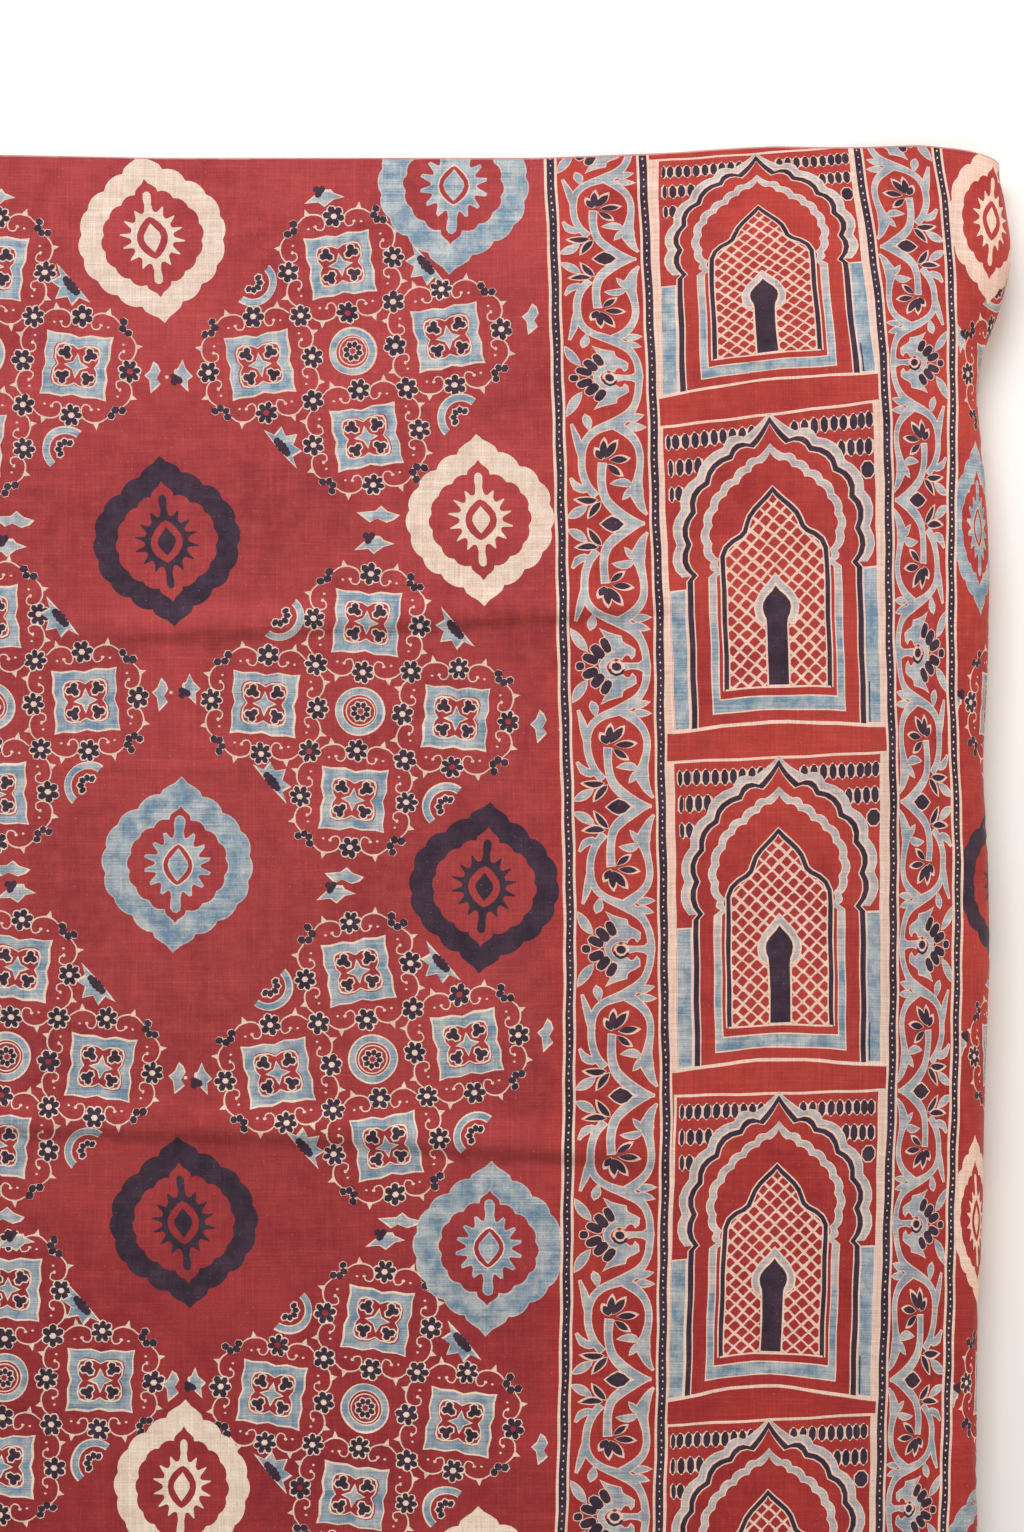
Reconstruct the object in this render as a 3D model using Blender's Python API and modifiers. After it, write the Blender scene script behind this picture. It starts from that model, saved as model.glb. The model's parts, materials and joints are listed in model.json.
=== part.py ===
"""A block-printed cotton cloth, one sheet, laid out face up on a flat surface.

Metres, +Z up. The cloth lies flat but for its right-hand side, which is turned
under in a soft roll, and for two storage folds that stand up as low ridges.
+X is across the cloth towards the roll, +Y is along it towards the top edge.
The origin is on the surface, under the middle of the laid cloth.
"""

import math

import bpy
import numpy as np

OBJECT = "ajrakh_cloth"

# The cut cloth, and how it lies
CLOTH_WIDTH = 0.950  # cut width, left hem to the hem that is turned under
CLOTH_LENGTH = 1.000  # cut length, bottom hem to top edge
THICKNESS = 0.002
LAYER_GAP = 0.0015  # air between the turned-under layer and the one over it

LAID_WIDTH = 0.7858  # left hem to the roll's furthest reach
LAID_LENGTH = 1.0051  # bottom hem to the highest point of the top edge

# The roll on the right-hand side
NOSE_HALF_WIDTH = 0.022  # the roll's outer half-round, measured along X
RAMP = 0.105  # how far the upper layer takes to come down from the roll
RISE_FROM = 0.560  # where the upper layer starts to climb over the hidden hem
RISE_TO = 0.596

# Distances in millimetres. down: from the top edge. reach: from the left hem
# to the outside of the roll. height: of the roll. hem_in: how far the left
# hem lies inside its outermost line.
ROLL_COLUMNS = ("down", "reach", "height", "hem_in")
ROLL = (
    (0, 778.0, 33.0, 1.5),
    (30, 782.7, 35.0, 0.8),
    (57, 786.7, 37.0, 0.3),
    (77, 784.7, 36.5, 0.0),
    (107, 776.7, 34.0, 0.3),
    (133, 766.7, 32.0, 0.9),
    (163, 763.3, 31.0, 1.6),
    (211, 768.7, 32.5, 2.0),
    (274, 772.0, 34.5, 1.4),
    (337, 770.7, 35.0, 0.6),
    (406, 767.3, 33.5, 0.5),
    (465, 770.7, 34.0, 1.3),
    (533, 772.0, 35.5, 2.1),
    (619, 768.7, 34.0, 1.8),
    (703, 767.3, 32.5, 0.7),
    (777, 764.0, 31.0, 0.2),
    (869, 763.3, 30.5, 0.8),
    (918, 764.0, 31.5, 1.2),
    (1000, 766.0, 32.5, 0.6),
)

# The top edge, in millimetres. across: along the cloth from the left hem.
# rise: above the nominal line. lift: of the bottom hem above its lowest line.
EDGE_COLUMNS = ("across", "rise", "lift")
EDGES = (
    (0, 0.0, 0.9),
    (113, 0.0, 0.2),
    (215, -2.0, 0.0),
    (470, -2.0, 1.4),
    (560, 1.5, 2.2),
    (627, 5.3, 1.9),
    (727, 3.3, 0.8),
    (760, -1.3, 0.6),
    (777, -6.0, 0.9),
    (800, -13.5, 1.5),
    (830, -16.5, 2.0),
    (950, -11.0, 1.0),
)
EDGE_FADE = 0.12  # the top edge's rise dies away this far down the cloth

# Ridges left by folding for storage, in millimetres: a line from its start to
# its end, at "down" there and at "bend" in the middle, with a long upper slope
# and a short lower one.
RIDGE_COLUMNS = (
    "start", "down_start", "middle", "down_middle", "end", "down_end",
    "height", "upper_slope", "lower_slope", "fade_start", "fade_end",
)
RIDGES = (
    (-60, 640.0, 310, 650.0, 590, 669.0, 5.0, 22.0, 12.0, 10, 110),
    (140, 320.0, 380, 309.0, 620, 295.0, 3.8, 20.0, 11.0, 80, 130),
)

# Places where the cloth lies a little loose, in millimetres.
SWELL_COLUMNS = ("across", "down", "height", "half_across", "half_down")
SWELLS = (
    (120, 95, 1.6, 80, 60),
    (330, 210, 1.3, 60, 95),
    (60, 470, 1.8, 55, 90),
    (265, 505, 1.5, 70, 60),
    (430, 590, 1.4, 50, 45),
    (170, 800, 2.0, 95, 60),
    (400, 855, 1.7, 60, 85),
    (520, 430, 1.2, 45, 80),
    (70, 930, 1.5, 60, 45),
)

# How the sheet's grid is spaced: columns across it and rows down it.
COLUMN_SPANS = ((0, 540, 11), (540, 615, 5), (615, 690, 3), (690, 745, 5), (745, 810, 9), (810, 950, 4))
ROW_SPANS = ((0, 280, 9), (280, 340, 9), (340, 625, 9), (625, 690, 10), (690, 1000, 10))

COLOUR = (0.36, 0.045, 0.055, 1.0)
ROUGHNESS = 0.85


def bump(far):
    """1 at nothing, 0 from one on, level at both."""
    return np.clip(1.0 - far, 0.0, 1.0) ** 2


def column(table, names, name):
    """One named column of a table, in metres."""
    at = names.index(name)
    return np.array([row[at] for row in table], float) / 1000.0


def smooth(t):
    """0 to 1 with level ends."""
    t = np.clip(t, 0.0, 1.0)
    return t * t * (3.0 - 2.0 * t)


def along(x, table, names, key, name):
    """A table's column read at x, rounded between the rows."""
    keys, values = column(table, names, key), column(table, names, name)
    spread = 0.008
    return sum(
        np.interp(np.asarray(x) + k * spread, keys, values) * w
        for k, w in ((-1, 0.25), (0, 0.5), (1, 0.25))
    )


def ridge_height(across, down):
    """How far the storage folds and the loose places lift the cloth."""
    lift = np.zeros(np.broadcast(across, down).shape)
    for row in RIDGES:
        r = dict(zip(RIDGE_COLUMNS, (value / 1000.0 for value in row)))
        line = np.interp(
            across,
            (r["start"], r["middle"], r["end"]),
            (r["down_start"], r["down_middle"], r["down_end"]),
        )
        off = down - line
        slope = np.where(off < 0, r["upper_slope"], r["lower_slope"])
        ends = smooth((across - r["start"]) / max(r["fade_start"], 1e-3)) * smooth(
            (r["end"] - across) / r["fade_end"]
        )
        lift = lift + r["height"] * bump((off / slope) ** 2) * ends
    for row in SWELLS:
        w = dict(zip(SWELL_COLUMNS, (value / 1000.0 for value in row)))
        far = ((across - w["across"]) / w["half_across"]) ** 2
        far = far + ((down - w["down"]) / w["half_down"]) ** 2
        lift = lift + w["height"] * bump(far)
    return lift


def section(down):
    """The middle of the sheet's thickness across the cloth, this far down it:
    distance along the cloth, then x from the left hem's line and z."""
    reach = float(along(down, ROLL, ROLL_COLUMNS, "down", "reach"))
    height = float(along(down, ROLL, ROLL_COLUMNS, "down", "height"))
    hem_in = float(along(down, ROLL, ROLL_COLUMNS, "down", "hem_in"))
    low = THICKNESS / 2
    over = low + THICKNESS + LAYER_GAP
    top = height - THICKNESS / 2
    turn = reach - THICKNESS / 2 - NOSE_HALF_WIDTH

    x = np.linspace(hem_in, turn, 700)
    z = low + (over - low) * smooth((x - RISE_FROM) / (RISE_TO - RISE_FROM))
    climb = np.clip((x - (turn - RAMP)) / RAMP, 0.0, 1.0)
    z = z + (top - over) * np.sin(climb * math.pi / 2) ** 2 * smooth(climb) ** 0.35

    angle = np.linspace(math.pi / 2, -math.pi / 2, 80)[1:]
    nose_x = turn + NOSE_HALF_WIDTH * np.cos(angle)
    nose_z = (top + low) / 2 + (top - low) / 2 * np.sin(angle)

    x = np.concatenate([x, nose_x])
    z = np.concatenate([z, nose_z])
    s = np.concatenate([[0.0], np.cumsum(np.hypot(np.diff(x), np.diff(z)))])
    left = CLOTH_WIDTH - s[-1]
    x = np.append(x, turn - left)
    z = np.append(z, low)
    s = np.append(s, CLOTH_WIDTH)
    return s, x, z


def place(across, down):
    """Where a point of the flat cloth lies, all three in metres."""
    s, x, z = section(down)
    px = np.interp(across, s, x)
    pz = np.interp(across, s, z)
    upper = smooth((0.700 - across) / 0.080)
    pz = pz + ridge_height(across, down) * upper
    rise = along(across, EDGES, EDGE_COLUMNS, "across", "rise")
    lift = along(across, EDGES, EDGE_COLUMNS, "across", "lift")
    near_top = 0.15 + 0.85 * math.exp(-down / EDGE_FADE)
    near_end = smooth((down - 0.80) / 0.20)
    py = CLOTH_LENGTH - down + rise * near_top + (lift - 0.15 * rise) * near_end
    return px - LAID_WIDTH / 2, py - LAID_LENGTH / 2, pz


def stations(spans):
    """The lines that these spans put across the cloth, in metres."""
    lines = [spans[0][0]]
    for start, end, count in spans:
        lines += [start + (end - start) * (k + 1) / count for k in range(count)]
    return np.array(lines, float) / 1000.0


def clear_scene():
    for obj in list(bpy.data.objects):
        bpy.data.objects.remove(obj, do_unlink=True)


def cloth_material():
    material = bpy.data.materials.new("printed_cotton")
    material.use_nodes = True
    shader = material.node_tree.nodes["Principled BSDF"]
    shader.inputs["Base Color"].default_value = COLOUR
    shader.inputs["Roughness"].default_value = ROUGHNESS
    shader.inputs["Metallic"].default_value = 0.0
    shader.inputs["Sheen Weight"].default_value = 0.25
    return material


def build_cloth(collection):
    columns, rows = stations(COLUMN_SPANS), stations(ROW_SPANS)
    bpy.ops.mesh.primitive_grid_add(
        x_subdivisions=len(columns) - 1,
        y_subdivisions=len(rows) - 1,
        size=1.0,
        location=(0, 0, 0),
    )
    cloth = bpy.context.object
    cloth.name = OBJECT
    cloth.data.name = OBJECT
    for vertex in cloth.data.vertices:
        i = round((vertex.co.x + 0.5) * (len(columns) - 1))
        j = round((0.5 - vertex.co.y) * (len(rows) - 1))
        vertex.co = place(float(columns[i]), float(rows[j]))
    for polygon in cloth.data.polygons:
        polygon.use_smooth = True

    sheet = cloth.modifiers.new("sheet", "SOLIDIFY")
    sheet.thickness = THICKNESS
    sheet.offset = 0.0
    sheet.use_rim = True
    cloth.data.materials.append(cloth_material())

    for other in list(cloth.users_collection):
        other.objects.unlink(cloth)
    collection.objects.link(cloth)
    return cloth


def main():
    clear_scene()
    collection = bpy.data.collections.new(OBJECT)
    bpy.context.scene.collection.children.link(collection)
    build_cloth(collection)


main()
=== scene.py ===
"""The looks of a block-printed cotton cloth, laid out face up.

The cloth is one printed sheet. Its print is drawn here as shapes on the flat
cloth, cut into one triangle mesh, and then laid the way the CAD cloth lies:
flat, with two storage folds, and its right-hand side turned under in a roll.
"""

import json
import math
import random

import bpy
import numpy as np
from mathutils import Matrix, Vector
from mathutils.geometry import delaunay_2d_cdt

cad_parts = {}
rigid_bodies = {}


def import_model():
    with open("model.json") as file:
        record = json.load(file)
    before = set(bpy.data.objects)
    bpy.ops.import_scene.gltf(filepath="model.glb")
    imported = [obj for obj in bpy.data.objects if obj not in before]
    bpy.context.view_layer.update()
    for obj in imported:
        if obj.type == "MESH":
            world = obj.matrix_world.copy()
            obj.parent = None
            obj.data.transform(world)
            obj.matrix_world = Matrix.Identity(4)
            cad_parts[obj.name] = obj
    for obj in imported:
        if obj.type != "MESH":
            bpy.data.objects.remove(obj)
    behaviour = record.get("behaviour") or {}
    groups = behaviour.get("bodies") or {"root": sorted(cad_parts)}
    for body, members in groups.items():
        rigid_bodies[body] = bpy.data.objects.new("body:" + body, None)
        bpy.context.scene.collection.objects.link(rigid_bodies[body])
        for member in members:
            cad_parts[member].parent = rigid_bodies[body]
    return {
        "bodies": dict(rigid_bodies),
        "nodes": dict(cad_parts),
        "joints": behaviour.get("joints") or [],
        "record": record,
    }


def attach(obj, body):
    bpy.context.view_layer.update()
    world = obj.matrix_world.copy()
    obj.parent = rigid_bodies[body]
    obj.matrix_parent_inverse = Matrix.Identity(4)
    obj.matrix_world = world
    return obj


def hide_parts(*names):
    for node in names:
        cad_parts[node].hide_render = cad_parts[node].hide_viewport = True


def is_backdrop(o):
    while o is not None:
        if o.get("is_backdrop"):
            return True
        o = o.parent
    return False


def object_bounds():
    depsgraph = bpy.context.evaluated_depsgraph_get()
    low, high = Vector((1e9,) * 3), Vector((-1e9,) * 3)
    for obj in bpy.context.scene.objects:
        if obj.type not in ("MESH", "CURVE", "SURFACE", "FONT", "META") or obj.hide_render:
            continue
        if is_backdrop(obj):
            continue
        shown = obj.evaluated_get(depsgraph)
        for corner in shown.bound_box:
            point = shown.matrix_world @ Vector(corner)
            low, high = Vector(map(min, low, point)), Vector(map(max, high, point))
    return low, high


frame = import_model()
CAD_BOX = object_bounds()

# ---------------------------------------------------------------- how it lies
# These numbers are part.py's.
CLOTH_WIDTH = 0.950
CLOTH_LENGTH = 1.000
CAD_THICKNESS = 0.002
LAYER_GAP = 0.0015
LAID_WIDTH = 0.7858
LAID_LENGTH = 1.0051
NOSE_HALF_WIDTH = 0.022
RAMP = 0.105
RISE_FROM = 0.560
RISE_TO = 0.596

ROLL_COLUMNS = ("down", "reach", "height", "hem_in")
ROLL = (
    (0, 778.0, 33.0, 1.5),
    (30, 782.7, 35.0, 0.8),
    (57, 786.7, 37.0, 0.3),
    (77, 784.7, 36.5, 0.0),
    (107, 776.7, 34.0, 0.3),
    (133, 766.7, 32.0, 0.9),
    (163, 763.3, 31.0, 1.6),
    (211, 768.7, 32.5, 2.0),
    (274, 772.0, 34.5, 1.4),
    (337, 770.7, 35.0, 0.6),
    (406, 767.3, 33.5, 0.5),
    (465, 770.7, 34.0, 1.3),
    (533, 772.0, 35.5, 2.1),
    (619, 768.7, 34.0, 1.8),
    (703, 767.3, 32.5, 0.7),
    (777, 764.0, 31.0, 0.2),
    (869, 763.3, 30.5, 0.8),
    (918, 764.0, 31.5, 1.2),
    (1000, 766.0, 32.5, 0.6),
)
EDGE_COLUMNS = ("across", "rise", "lift")
EDGES = (
    (0, 0.0, 0.9),
    (113, 0.0, 0.2),
    (215, -2.0, 0.0),
    (470, -2.0, 1.4),
    (560, 1.5, 2.2),
    (627, 5.3, 1.9),
    (727, 3.3, 0.8),
    (760, -1.3, 0.6),
    (777, -6.0, 0.9),
    (800, -13.5, 1.5),
    (830, -16.5, 2.0),
    (950, -11.0, 1.0),
)
EDGE_FADE = 0.12
RIDGE_COLUMNS = (
    "start", "down_start", "middle", "down_middle", "end", "down_end",
    "height", "upper_slope", "lower_slope", "fade_start", "fade_end",
)
RIDGES = (
    (-60, 640.0, 310, 650.0, 590, 669.0, 5.0, 22.0, 12.0, 10, 110),
    (140, 320.0, 380, 309.0, 620, 295.0, 3.8, 20.0, 11.0, 80, 130),
)
SWELL_COLUMNS = ("across", "down", "height", "half_across", "half_down")
SWELLS = (
    (120, 95, 1.6, 80, 60),
    (330, 210, 1.3, 60, 95),
    (60, 470, 1.8, 55, 90),
    (265, 505, 1.5, 70, 60),
    (430, 590, 1.4, 50, 45),
    (170, 800, 2.0, 95, 60),
    (400, 855, 1.7, 60, 85),
    (520, 430, 1.2, 45, 80),
    (70, 930, 1.5, 60, 45),
)

# Finer creases than the CAD has, in millimetres: a line from one point of the
# flat cloth to another (across, down), its height, the half-width of each of
# its two slopes, and how far its ends take to die away.
CREASES = (
    # x0, y0, x1, y1, height, half_a, half_b, fade
    (209, 388, 207, 472, 0.75, 5.0, 3.0, 25),
    (276, 386, 274, 474, 0.75, 5.0, 3.0, 25),
    (60, 407, 330, 409, 0.55, 4.5, 3.0, 60),
    (163, 215, 165, 300, 0.65, 5.0, 3.0, 25),
    (280, 214, 281, 268, 0.55, 4.0, 3.0, 18),
    (320, 214, 319, 268, 0.55, 4.0, 3.0, 18),
    (614, 70, 617, 370, 0.8, 6.0, 4.5, 50),
    (440, 20, 640, 26, 0.7, 7.0, 5.0, 60),
)

# The sheet that is seen: thinner than its CAD solid, resting on the floor.
SHEET = 0.0009
DROP = CAD_THICKNESS / 2 - SHEET / 2 - 0.00005

# ---------------------------------------------------------------- the camera
# 15 pixels of the photograph are a centimetre of the laid cloth.
PX = 1500.0
CAMERA_HEIGHT = 3.0
CENTRE = ((512 + 170) / PX - LAID_WIDTH / 2, CLOTH_LENGTH - LAID_LENGTH / 2 - (766 - 155) / PX)
FRAME_HEIGHT = 1532 / PX


def column(table, names, name):
    at = names.index(name)
    return np.array([row[at] for row in table], float) / 1000.0


def smooth(t):
    t = np.clip(t, 0.0, 1.0)
    return t * t * (3.0 - 2.0 * t)


def bump(far):
    return np.clip(1.0 - far, 0.0, 1.0) ** 2


def along(x, table, names, key, name):
    keys, values = column(table, names, key), column(table, names, name)
    spread = 0.008
    return sum(
        np.interp(np.asarray(x) + k * spread, keys, values) * w
        for k, w in ((-1, 0.25), (0, 0.5), (1, 0.25))
    )


def ridge_height(across, down):
    """How far the storage folds and the loose places lift the cloth."""
    lift = np.zeros(np.broadcast(across, down).shape)
    for row in RIDGES:
        r = dict(zip(RIDGE_COLUMNS, (value / 1000.0 for value in row)))
        line = np.interp(
            across,
            (r["start"], r["middle"], r["end"]),
            (r["down_start"], r["down_middle"], r["down_end"]),
        )
        off = down - line
        slope = np.where(off < 0, r["upper_slope"], r["lower_slope"])
        ends = smooth((across - r["start"]) / max(r["fade_start"], 1e-3)) * smooth(
            (r["end"] - across) / r["fade_end"]
        )
        lift = lift + r["height"] * bump((off / slope) ** 2) * ends
    for row in SWELLS:
        w = dict(zip(SWELL_COLUMNS, (value / 1000.0 for value in row)))
        far = ((across - w["across"]) / w["half_across"]) ** 2
        far = far + ((down - w["down"]) / w["half_down"]) ** 2
        lift = lift + w["height"] * bump(far)
    return lift


def crease_height(across, down):
    """The finer creases, which only the seen sheet has."""
    lift = np.zeros(np.broadcast(across, down).shape)
    for row in CREASES:
        x0, y0, x1, y1, height, half_a, half_b, fade = (v / 1000.0 for v in row)
        length = math.hypot(x1 - x0, y1 - y0)
        ux, uy = (x1 - x0) / length, (y1 - y0) / length
        t = (across - x0) * ux + (down - y0) * uy
        off = (across - x0) * uy - (down - y0) * ux
        ends = smooth(t / fade) * smooth((length - t) / fade)
        half = np.where(off < 0, half_a, half_b)
        lift = lift + height * 1.5 * bump((off / half) ** 2) * ends
    return lift


def section(down):
    """The middle of the CAD sheet's thickness across the cloth, this far down."""
    reach = float(along(down, ROLL, ROLL_COLUMNS, "down", "reach"))
    height = float(along(down, ROLL, ROLL_COLUMNS, "down", "height"))
    hem_in = float(along(down, ROLL, ROLL_COLUMNS, "down", "hem_in"))
    low = CAD_THICKNESS / 2
    over = low + CAD_THICKNESS + LAYER_GAP
    top = height - CAD_THICKNESS / 2
    turn = reach - CAD_THICKNESS / 2 - NOSE_HALF_WIDTH

    x = np.linspace(hem_in, turn, 700)
    z = low + (over - low) * smooth((x - RISE_FROM) / (RISE_TO - RISE_FROM))
    climb = np.clip((x - (turn - RAMP)) / RAMP, 0.0, 1.0)
    z = z + (top - over) * np.sin(climb * math.pi / 2) ** 2 * smooth(climb) ** 0.35

    angle = np.linspace(math.pi / 2, -math.pi / 2, 80)[1:]
    nose_x = turn + NOSE_HALF_WIDTH * np.cos(angle)
    nose_z = (top + low) / 2 + (top - low) / 2 * np.sin(angle)

    x = np.concatenate([x, nose_x])
    z = np.concatenate([z, nose_z])
    s = np.concatenate([[0.0], np.cumsum(np.hypot(np.diff(x), np.diff(z)))])
    left = CLOTH_WIDTH - s[-1]
    x = np.append(x, turn - left)
    z = np.append(z, low)
    s = np.append(s, CLOTH_WIDTH)
    return s, x, z


# Tables of the section: a row for every 10 mm down the cloth
STEP_DOWN = 0.010
STEP_ACROSS = 0.001
S_GRID = np.arange(0, CLOTH_WIDTH + 1e-9, STEP_ACROSS)
X_GRID = np.arange(0, 0.790 + 1e-9, STEP_ACROSS)
SECTIONS = [section(d) for d in np.arange(0, CLOTH_LENGTH + 1e-9, STEP_DOWN)]
X_TABLE = np.array([np.interp(S_GRID, s, x) for s, x, z in SECTIONS])
Z_TABLE = np.array([np.interp(S_GRID, s, z) for s, x, z in SECTIONS])
BACK_TABLE = []
for s, x, z in SECTIONS:
    top = int(np.argmax(x)) + 1
    BACK_TABLE.append(np.interp(X_GRID, x[:top], s[:top]))
BACK_TABLE = np.array(BACK_TABLE)


def read(table, across, down):
    """A table read between its rows and columns."""
    i = np.clip(np.asarray(down, float) / STEP_DOWN, 0, table.shape[0] - 1.000001)
    j = np.clip(np.asarray(across, float) / STEP_ACROSS, 0, table.shape[1] - 1.000001)
    i0, j0 = i.astype(int), j.astype(int)
    fi, fj = i - i0, j - j0
    a = table[i0, j0] * (1 - fj) + table[i0, j0 + 1] * fj
    b = table[i0 + 1, j0] * (1 - fj) + table[i0 + 1, j0 + 1] * fj
    return a * (1 - fi) + b * fi


def along_edges(across, down):
    """How far the laid cloth's points stand above a plain grid's, along Y."""
    rise = along(across, EDGES, EDGE_COLUMNS, "across", "rise")
    lift = along(across, EDGES, EDGE_COLUMNS, "across", "lift")
    near_top = 0.15 + 0.85 * np.exp(-np.asarray(down) / EDGE_FADE)
    near_end = smooth((np.asarray(down) - 0.80) / 0.20)
    return rise * near_top + (lift - 0.15 * rise) * near_end


def lay(across, down):
    """Where points of the flat cloth lie: the middle of the seen sheet."""
    across, down = np.asarray(across, float), np.asarray(down, float)
    x = read(X_TABLE, across, down)
    z = read(Z_TABLE, across, down)
    upper = smooth((0.700 - across) / 0.080)
    z = z + ridge_height(across, down) * upper + crease_height(across, down) - DROP
    y = CLOTH_LENGTH - down + along_edges(across, down)
    return np.stack([x - LAID_WIDTH / 2, y - LAID_LENGTH / 2, z], 1)


def lay_normals(across, down):
    """The upward side's normals there."""
    h = 0.0012
    du = lay(across + h, down) - lay(across - h, down)
    dv = lay(across, down - h) - lay(across, down + h)
    n = np.cross(du, dv)
    return n / np.linalg.norm(n, axis=1, keepdims=True)


def to_cloth(points):
    """From the photograph's pixels to the flat cloth: across and down, metres.
    Left of the last border line a point is found where the laid cloth shows
    it, and right of that line it is measured along the cloth."""
    p = np.asarray(points, float)
    edge = line_x(3, p[:, 1])
    seen = np.minimum(p[:, 0], edge)
    x0 = (seen + 170) / PX
    down = np.clip((p[:, 1] - 155) / PX, -0.2, 1.3)
    y0 = down.copy()
    across = x0.copy()
    for _ in range(4):
        z = read(Z_TABLE, across, down) - DROP
        shrink = (CAMERA_HEIGHT - z) / CAMERA_HEIGHT
        cx = CENTRE[0] + LAID_WIDTH / 2
        x = cx + (x0 - cx) * shrink
        across = np.where(x >= 0, read(BACK_TABLE, np.maximum(x, 0), down), x)
        cy = (766 - 155) / PX
        down = cy + (y0 - cy) * shrink + along_edges(across, down)
    across = across + np.maximum(p[:, 0] - edge, 0) / PX
    return np.stack([across, down], 1)


import math
import random

import numpy as np

# Madder red ground, iron black, indigo, undyed cloth, pale thread, a washed-out
# indigo over half-dyed cloth, the thinner indigo of the vines, and the fine
# resist lines that took up a little of the madder.
RED, BLACK, BLUE, CREAM, THREAD, GREY, STEM, LINE = range(8)

shapes = []  # (ink, N x 2 array), in the order they were printed


def put(ink, points):
    shapes.append((ink, np.asarray(points, float)))


# ---------------------------------------------------------------- plain shapes
def oval(x, y, rx, ry=None, n=14, turn=0.0, at=0.0):
    ry = rx if ry is None else ry
    a = np.arange(n) * (2 * math.pi / n) + at
    c, s = math.cos(turn), math.sin(turn)
    px, py = rx * np.cos(a), ry * np.sin(a)
    return np.stack([x + px * c - py * s, y + px * s + py * c], 1)


def curve(points, k=4, closed=False):
    """A smooth line through the points, k steps from each to the next."""
    p = np.asarray(points, float)
    n = len(p)
    if closed:
        ids = np.arange(-1, n + 2) % n
        q, spans = p[ids], n
    else:
        q = np.concatenate([[2 * p[0] - p[1]], p, [2 * p[-1] - p[-2]]])
        spans = n - 1
    t = (np.arange(k) / k)[:, None]
    out = []
    for i in range(spans):
        a, b, c, d = q[i : i + 4]
        out.append(
            0.5
            * (
                2 * b
                + (c - a) * t
                + (2 * a - 5 * b + 4 * c - d) * t**2
                + (3 * b - a - 3 * c + d) * t**3
            )
        )
    if not closed:
        out.append(p[-1:])
    return np.concatenate(out)


def normals(p, closed):
    if closed:
        d = np.roll(p, -1, 0) - np.roll(p, 1, 0)
    else:
        d = np.gradient(p, axis=0)
    d /= np.maximum(np.linalg.norm(d, axis=1, keepdims=True), 1e-9)
    return np.stack([d[:, 1], -d[:, 0]], 1)


def ribbon(points, widths, k=4, grow=0.0):
    """A band of changing width along a smooth line, its ends rounded a little."""
    p = curve(points, k)
    w = np.interp(
        np.linspace(0, 1, len(p)), np.linspace(0, 1, len(widths)), widths
    )
    w = w / 2 + grow
    n = normals(p, False)
    if grow:
        p = p.copy()
        d0, d1 = p[0] - p[1], p[-1] - p[-2]
        p[0] += d0 / np.linalg.norm(d0) * grow
        p[-1] += d1 / np.linalg.norm(d1) * grow
    left, right = p + n * w[:, None], p - n * w[:, None]
    return np.concatenate([left, right[::-1]])


def leaf(x0, y0, x1, y1, width, bend=0.0, n=5, fat=0.45, grow=0.0):
    """A pointed leaf from its foot to its tip."""
    a, b = np.array([x0, y0], float), np.array([x1, y1], float)
    d = b - a
    length = np.linalg.norm(d)
    d = d / length
    side = np.array([d[1], -d[0]])
    a, b, length = a - d * grow * 0.8, b + d * grow * 1.4, length + grow * 2.2
    t = np.linspace(0, 1, n + 2)
    prof = np.sin(math.pi * t ** (math.log(0.5) / math.log(fat)))
    prof = prof ** 0.8 * (width / 2 + grow)
    mid = a + d * (t * length)[:, None] + side * (bend * np.sin(math.pi * t))[:, None]
    up, down = mid + side * prof[:, None], mid - side * prof[:, None]
    return np.concatenate([up, down[1:-1][::-1]])


def grown(poly, d):
    """The shape made larger all round by d."""
    area = np.sum(
        poly[:, 0] * np.roll(poly[:, 1], -1) - np.roll(poly[:, 0], -1) * poly[:, 1]
    )
    a = poly - np.roll(poly, 1, 0)
    b = np.roll(poly, -1, 0) - poly
    a /= np.maximum(np.linalg.norm(a, axis=1, keepdims=True), 1e-9)
    b /= np.maximum(np.linalg.norm(b, axis=1, keepdims=True), 1e-9)
    na = np.stack([a[:, 1], -a[:, 0]], 1)
    nb = np.stack([b[:, 1], -b[:, 0]], 1)
    n = na + nb
    n /= np.maximum((n * n).sum(1, keepdims=True), 0.5) / 2
    return poly + n * d * (1 if area > 0 else -1)


def scalloped(rx, ry, lobes, depth, power=2.0, k=3, at=0.0, turn=0.0):
    """A pointed oval with lobes standing out all round, cusps between them."""
    n = lobes * k
    out = []
    for i in range(n):
        a = 2 * math.pi * (i + 0.0) / n + at
        c, s = abs(math.cos(a)), abs(math.sin(a))
        r = ((c / rx) ** power + (s / ry) ** power) ** (-1 / power)
        lobe = abs(math.sin(math.pi * ((i / k) % 1.0)))
        r += depth * (lobe - 0.6)
        out.append((r * math.cos(a + turn), r * math.sin(a + turn)))
    return np.array(out)


class Block:
    """Where one impression of a printing block lands."""

    def __init__(self, x, y, turn=0.0, sx=1.0, sy=1.0):
        self.x, self.y = x, y
        self.c, self.s = math.cos(math.radians(turn)), math.sin(math.radians(turn))
        self.sx, self.sy = sx, sy

    def __call__(self, points):
        p = np.asarray(points, float)
        u, v = p[:, 0] * self.sx, p[:, 1] * self.sy
        return np.stack(
            [self.x + u * self.c - v * self.s, self.y + u * self.s + v * self.c], 1
        )


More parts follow.
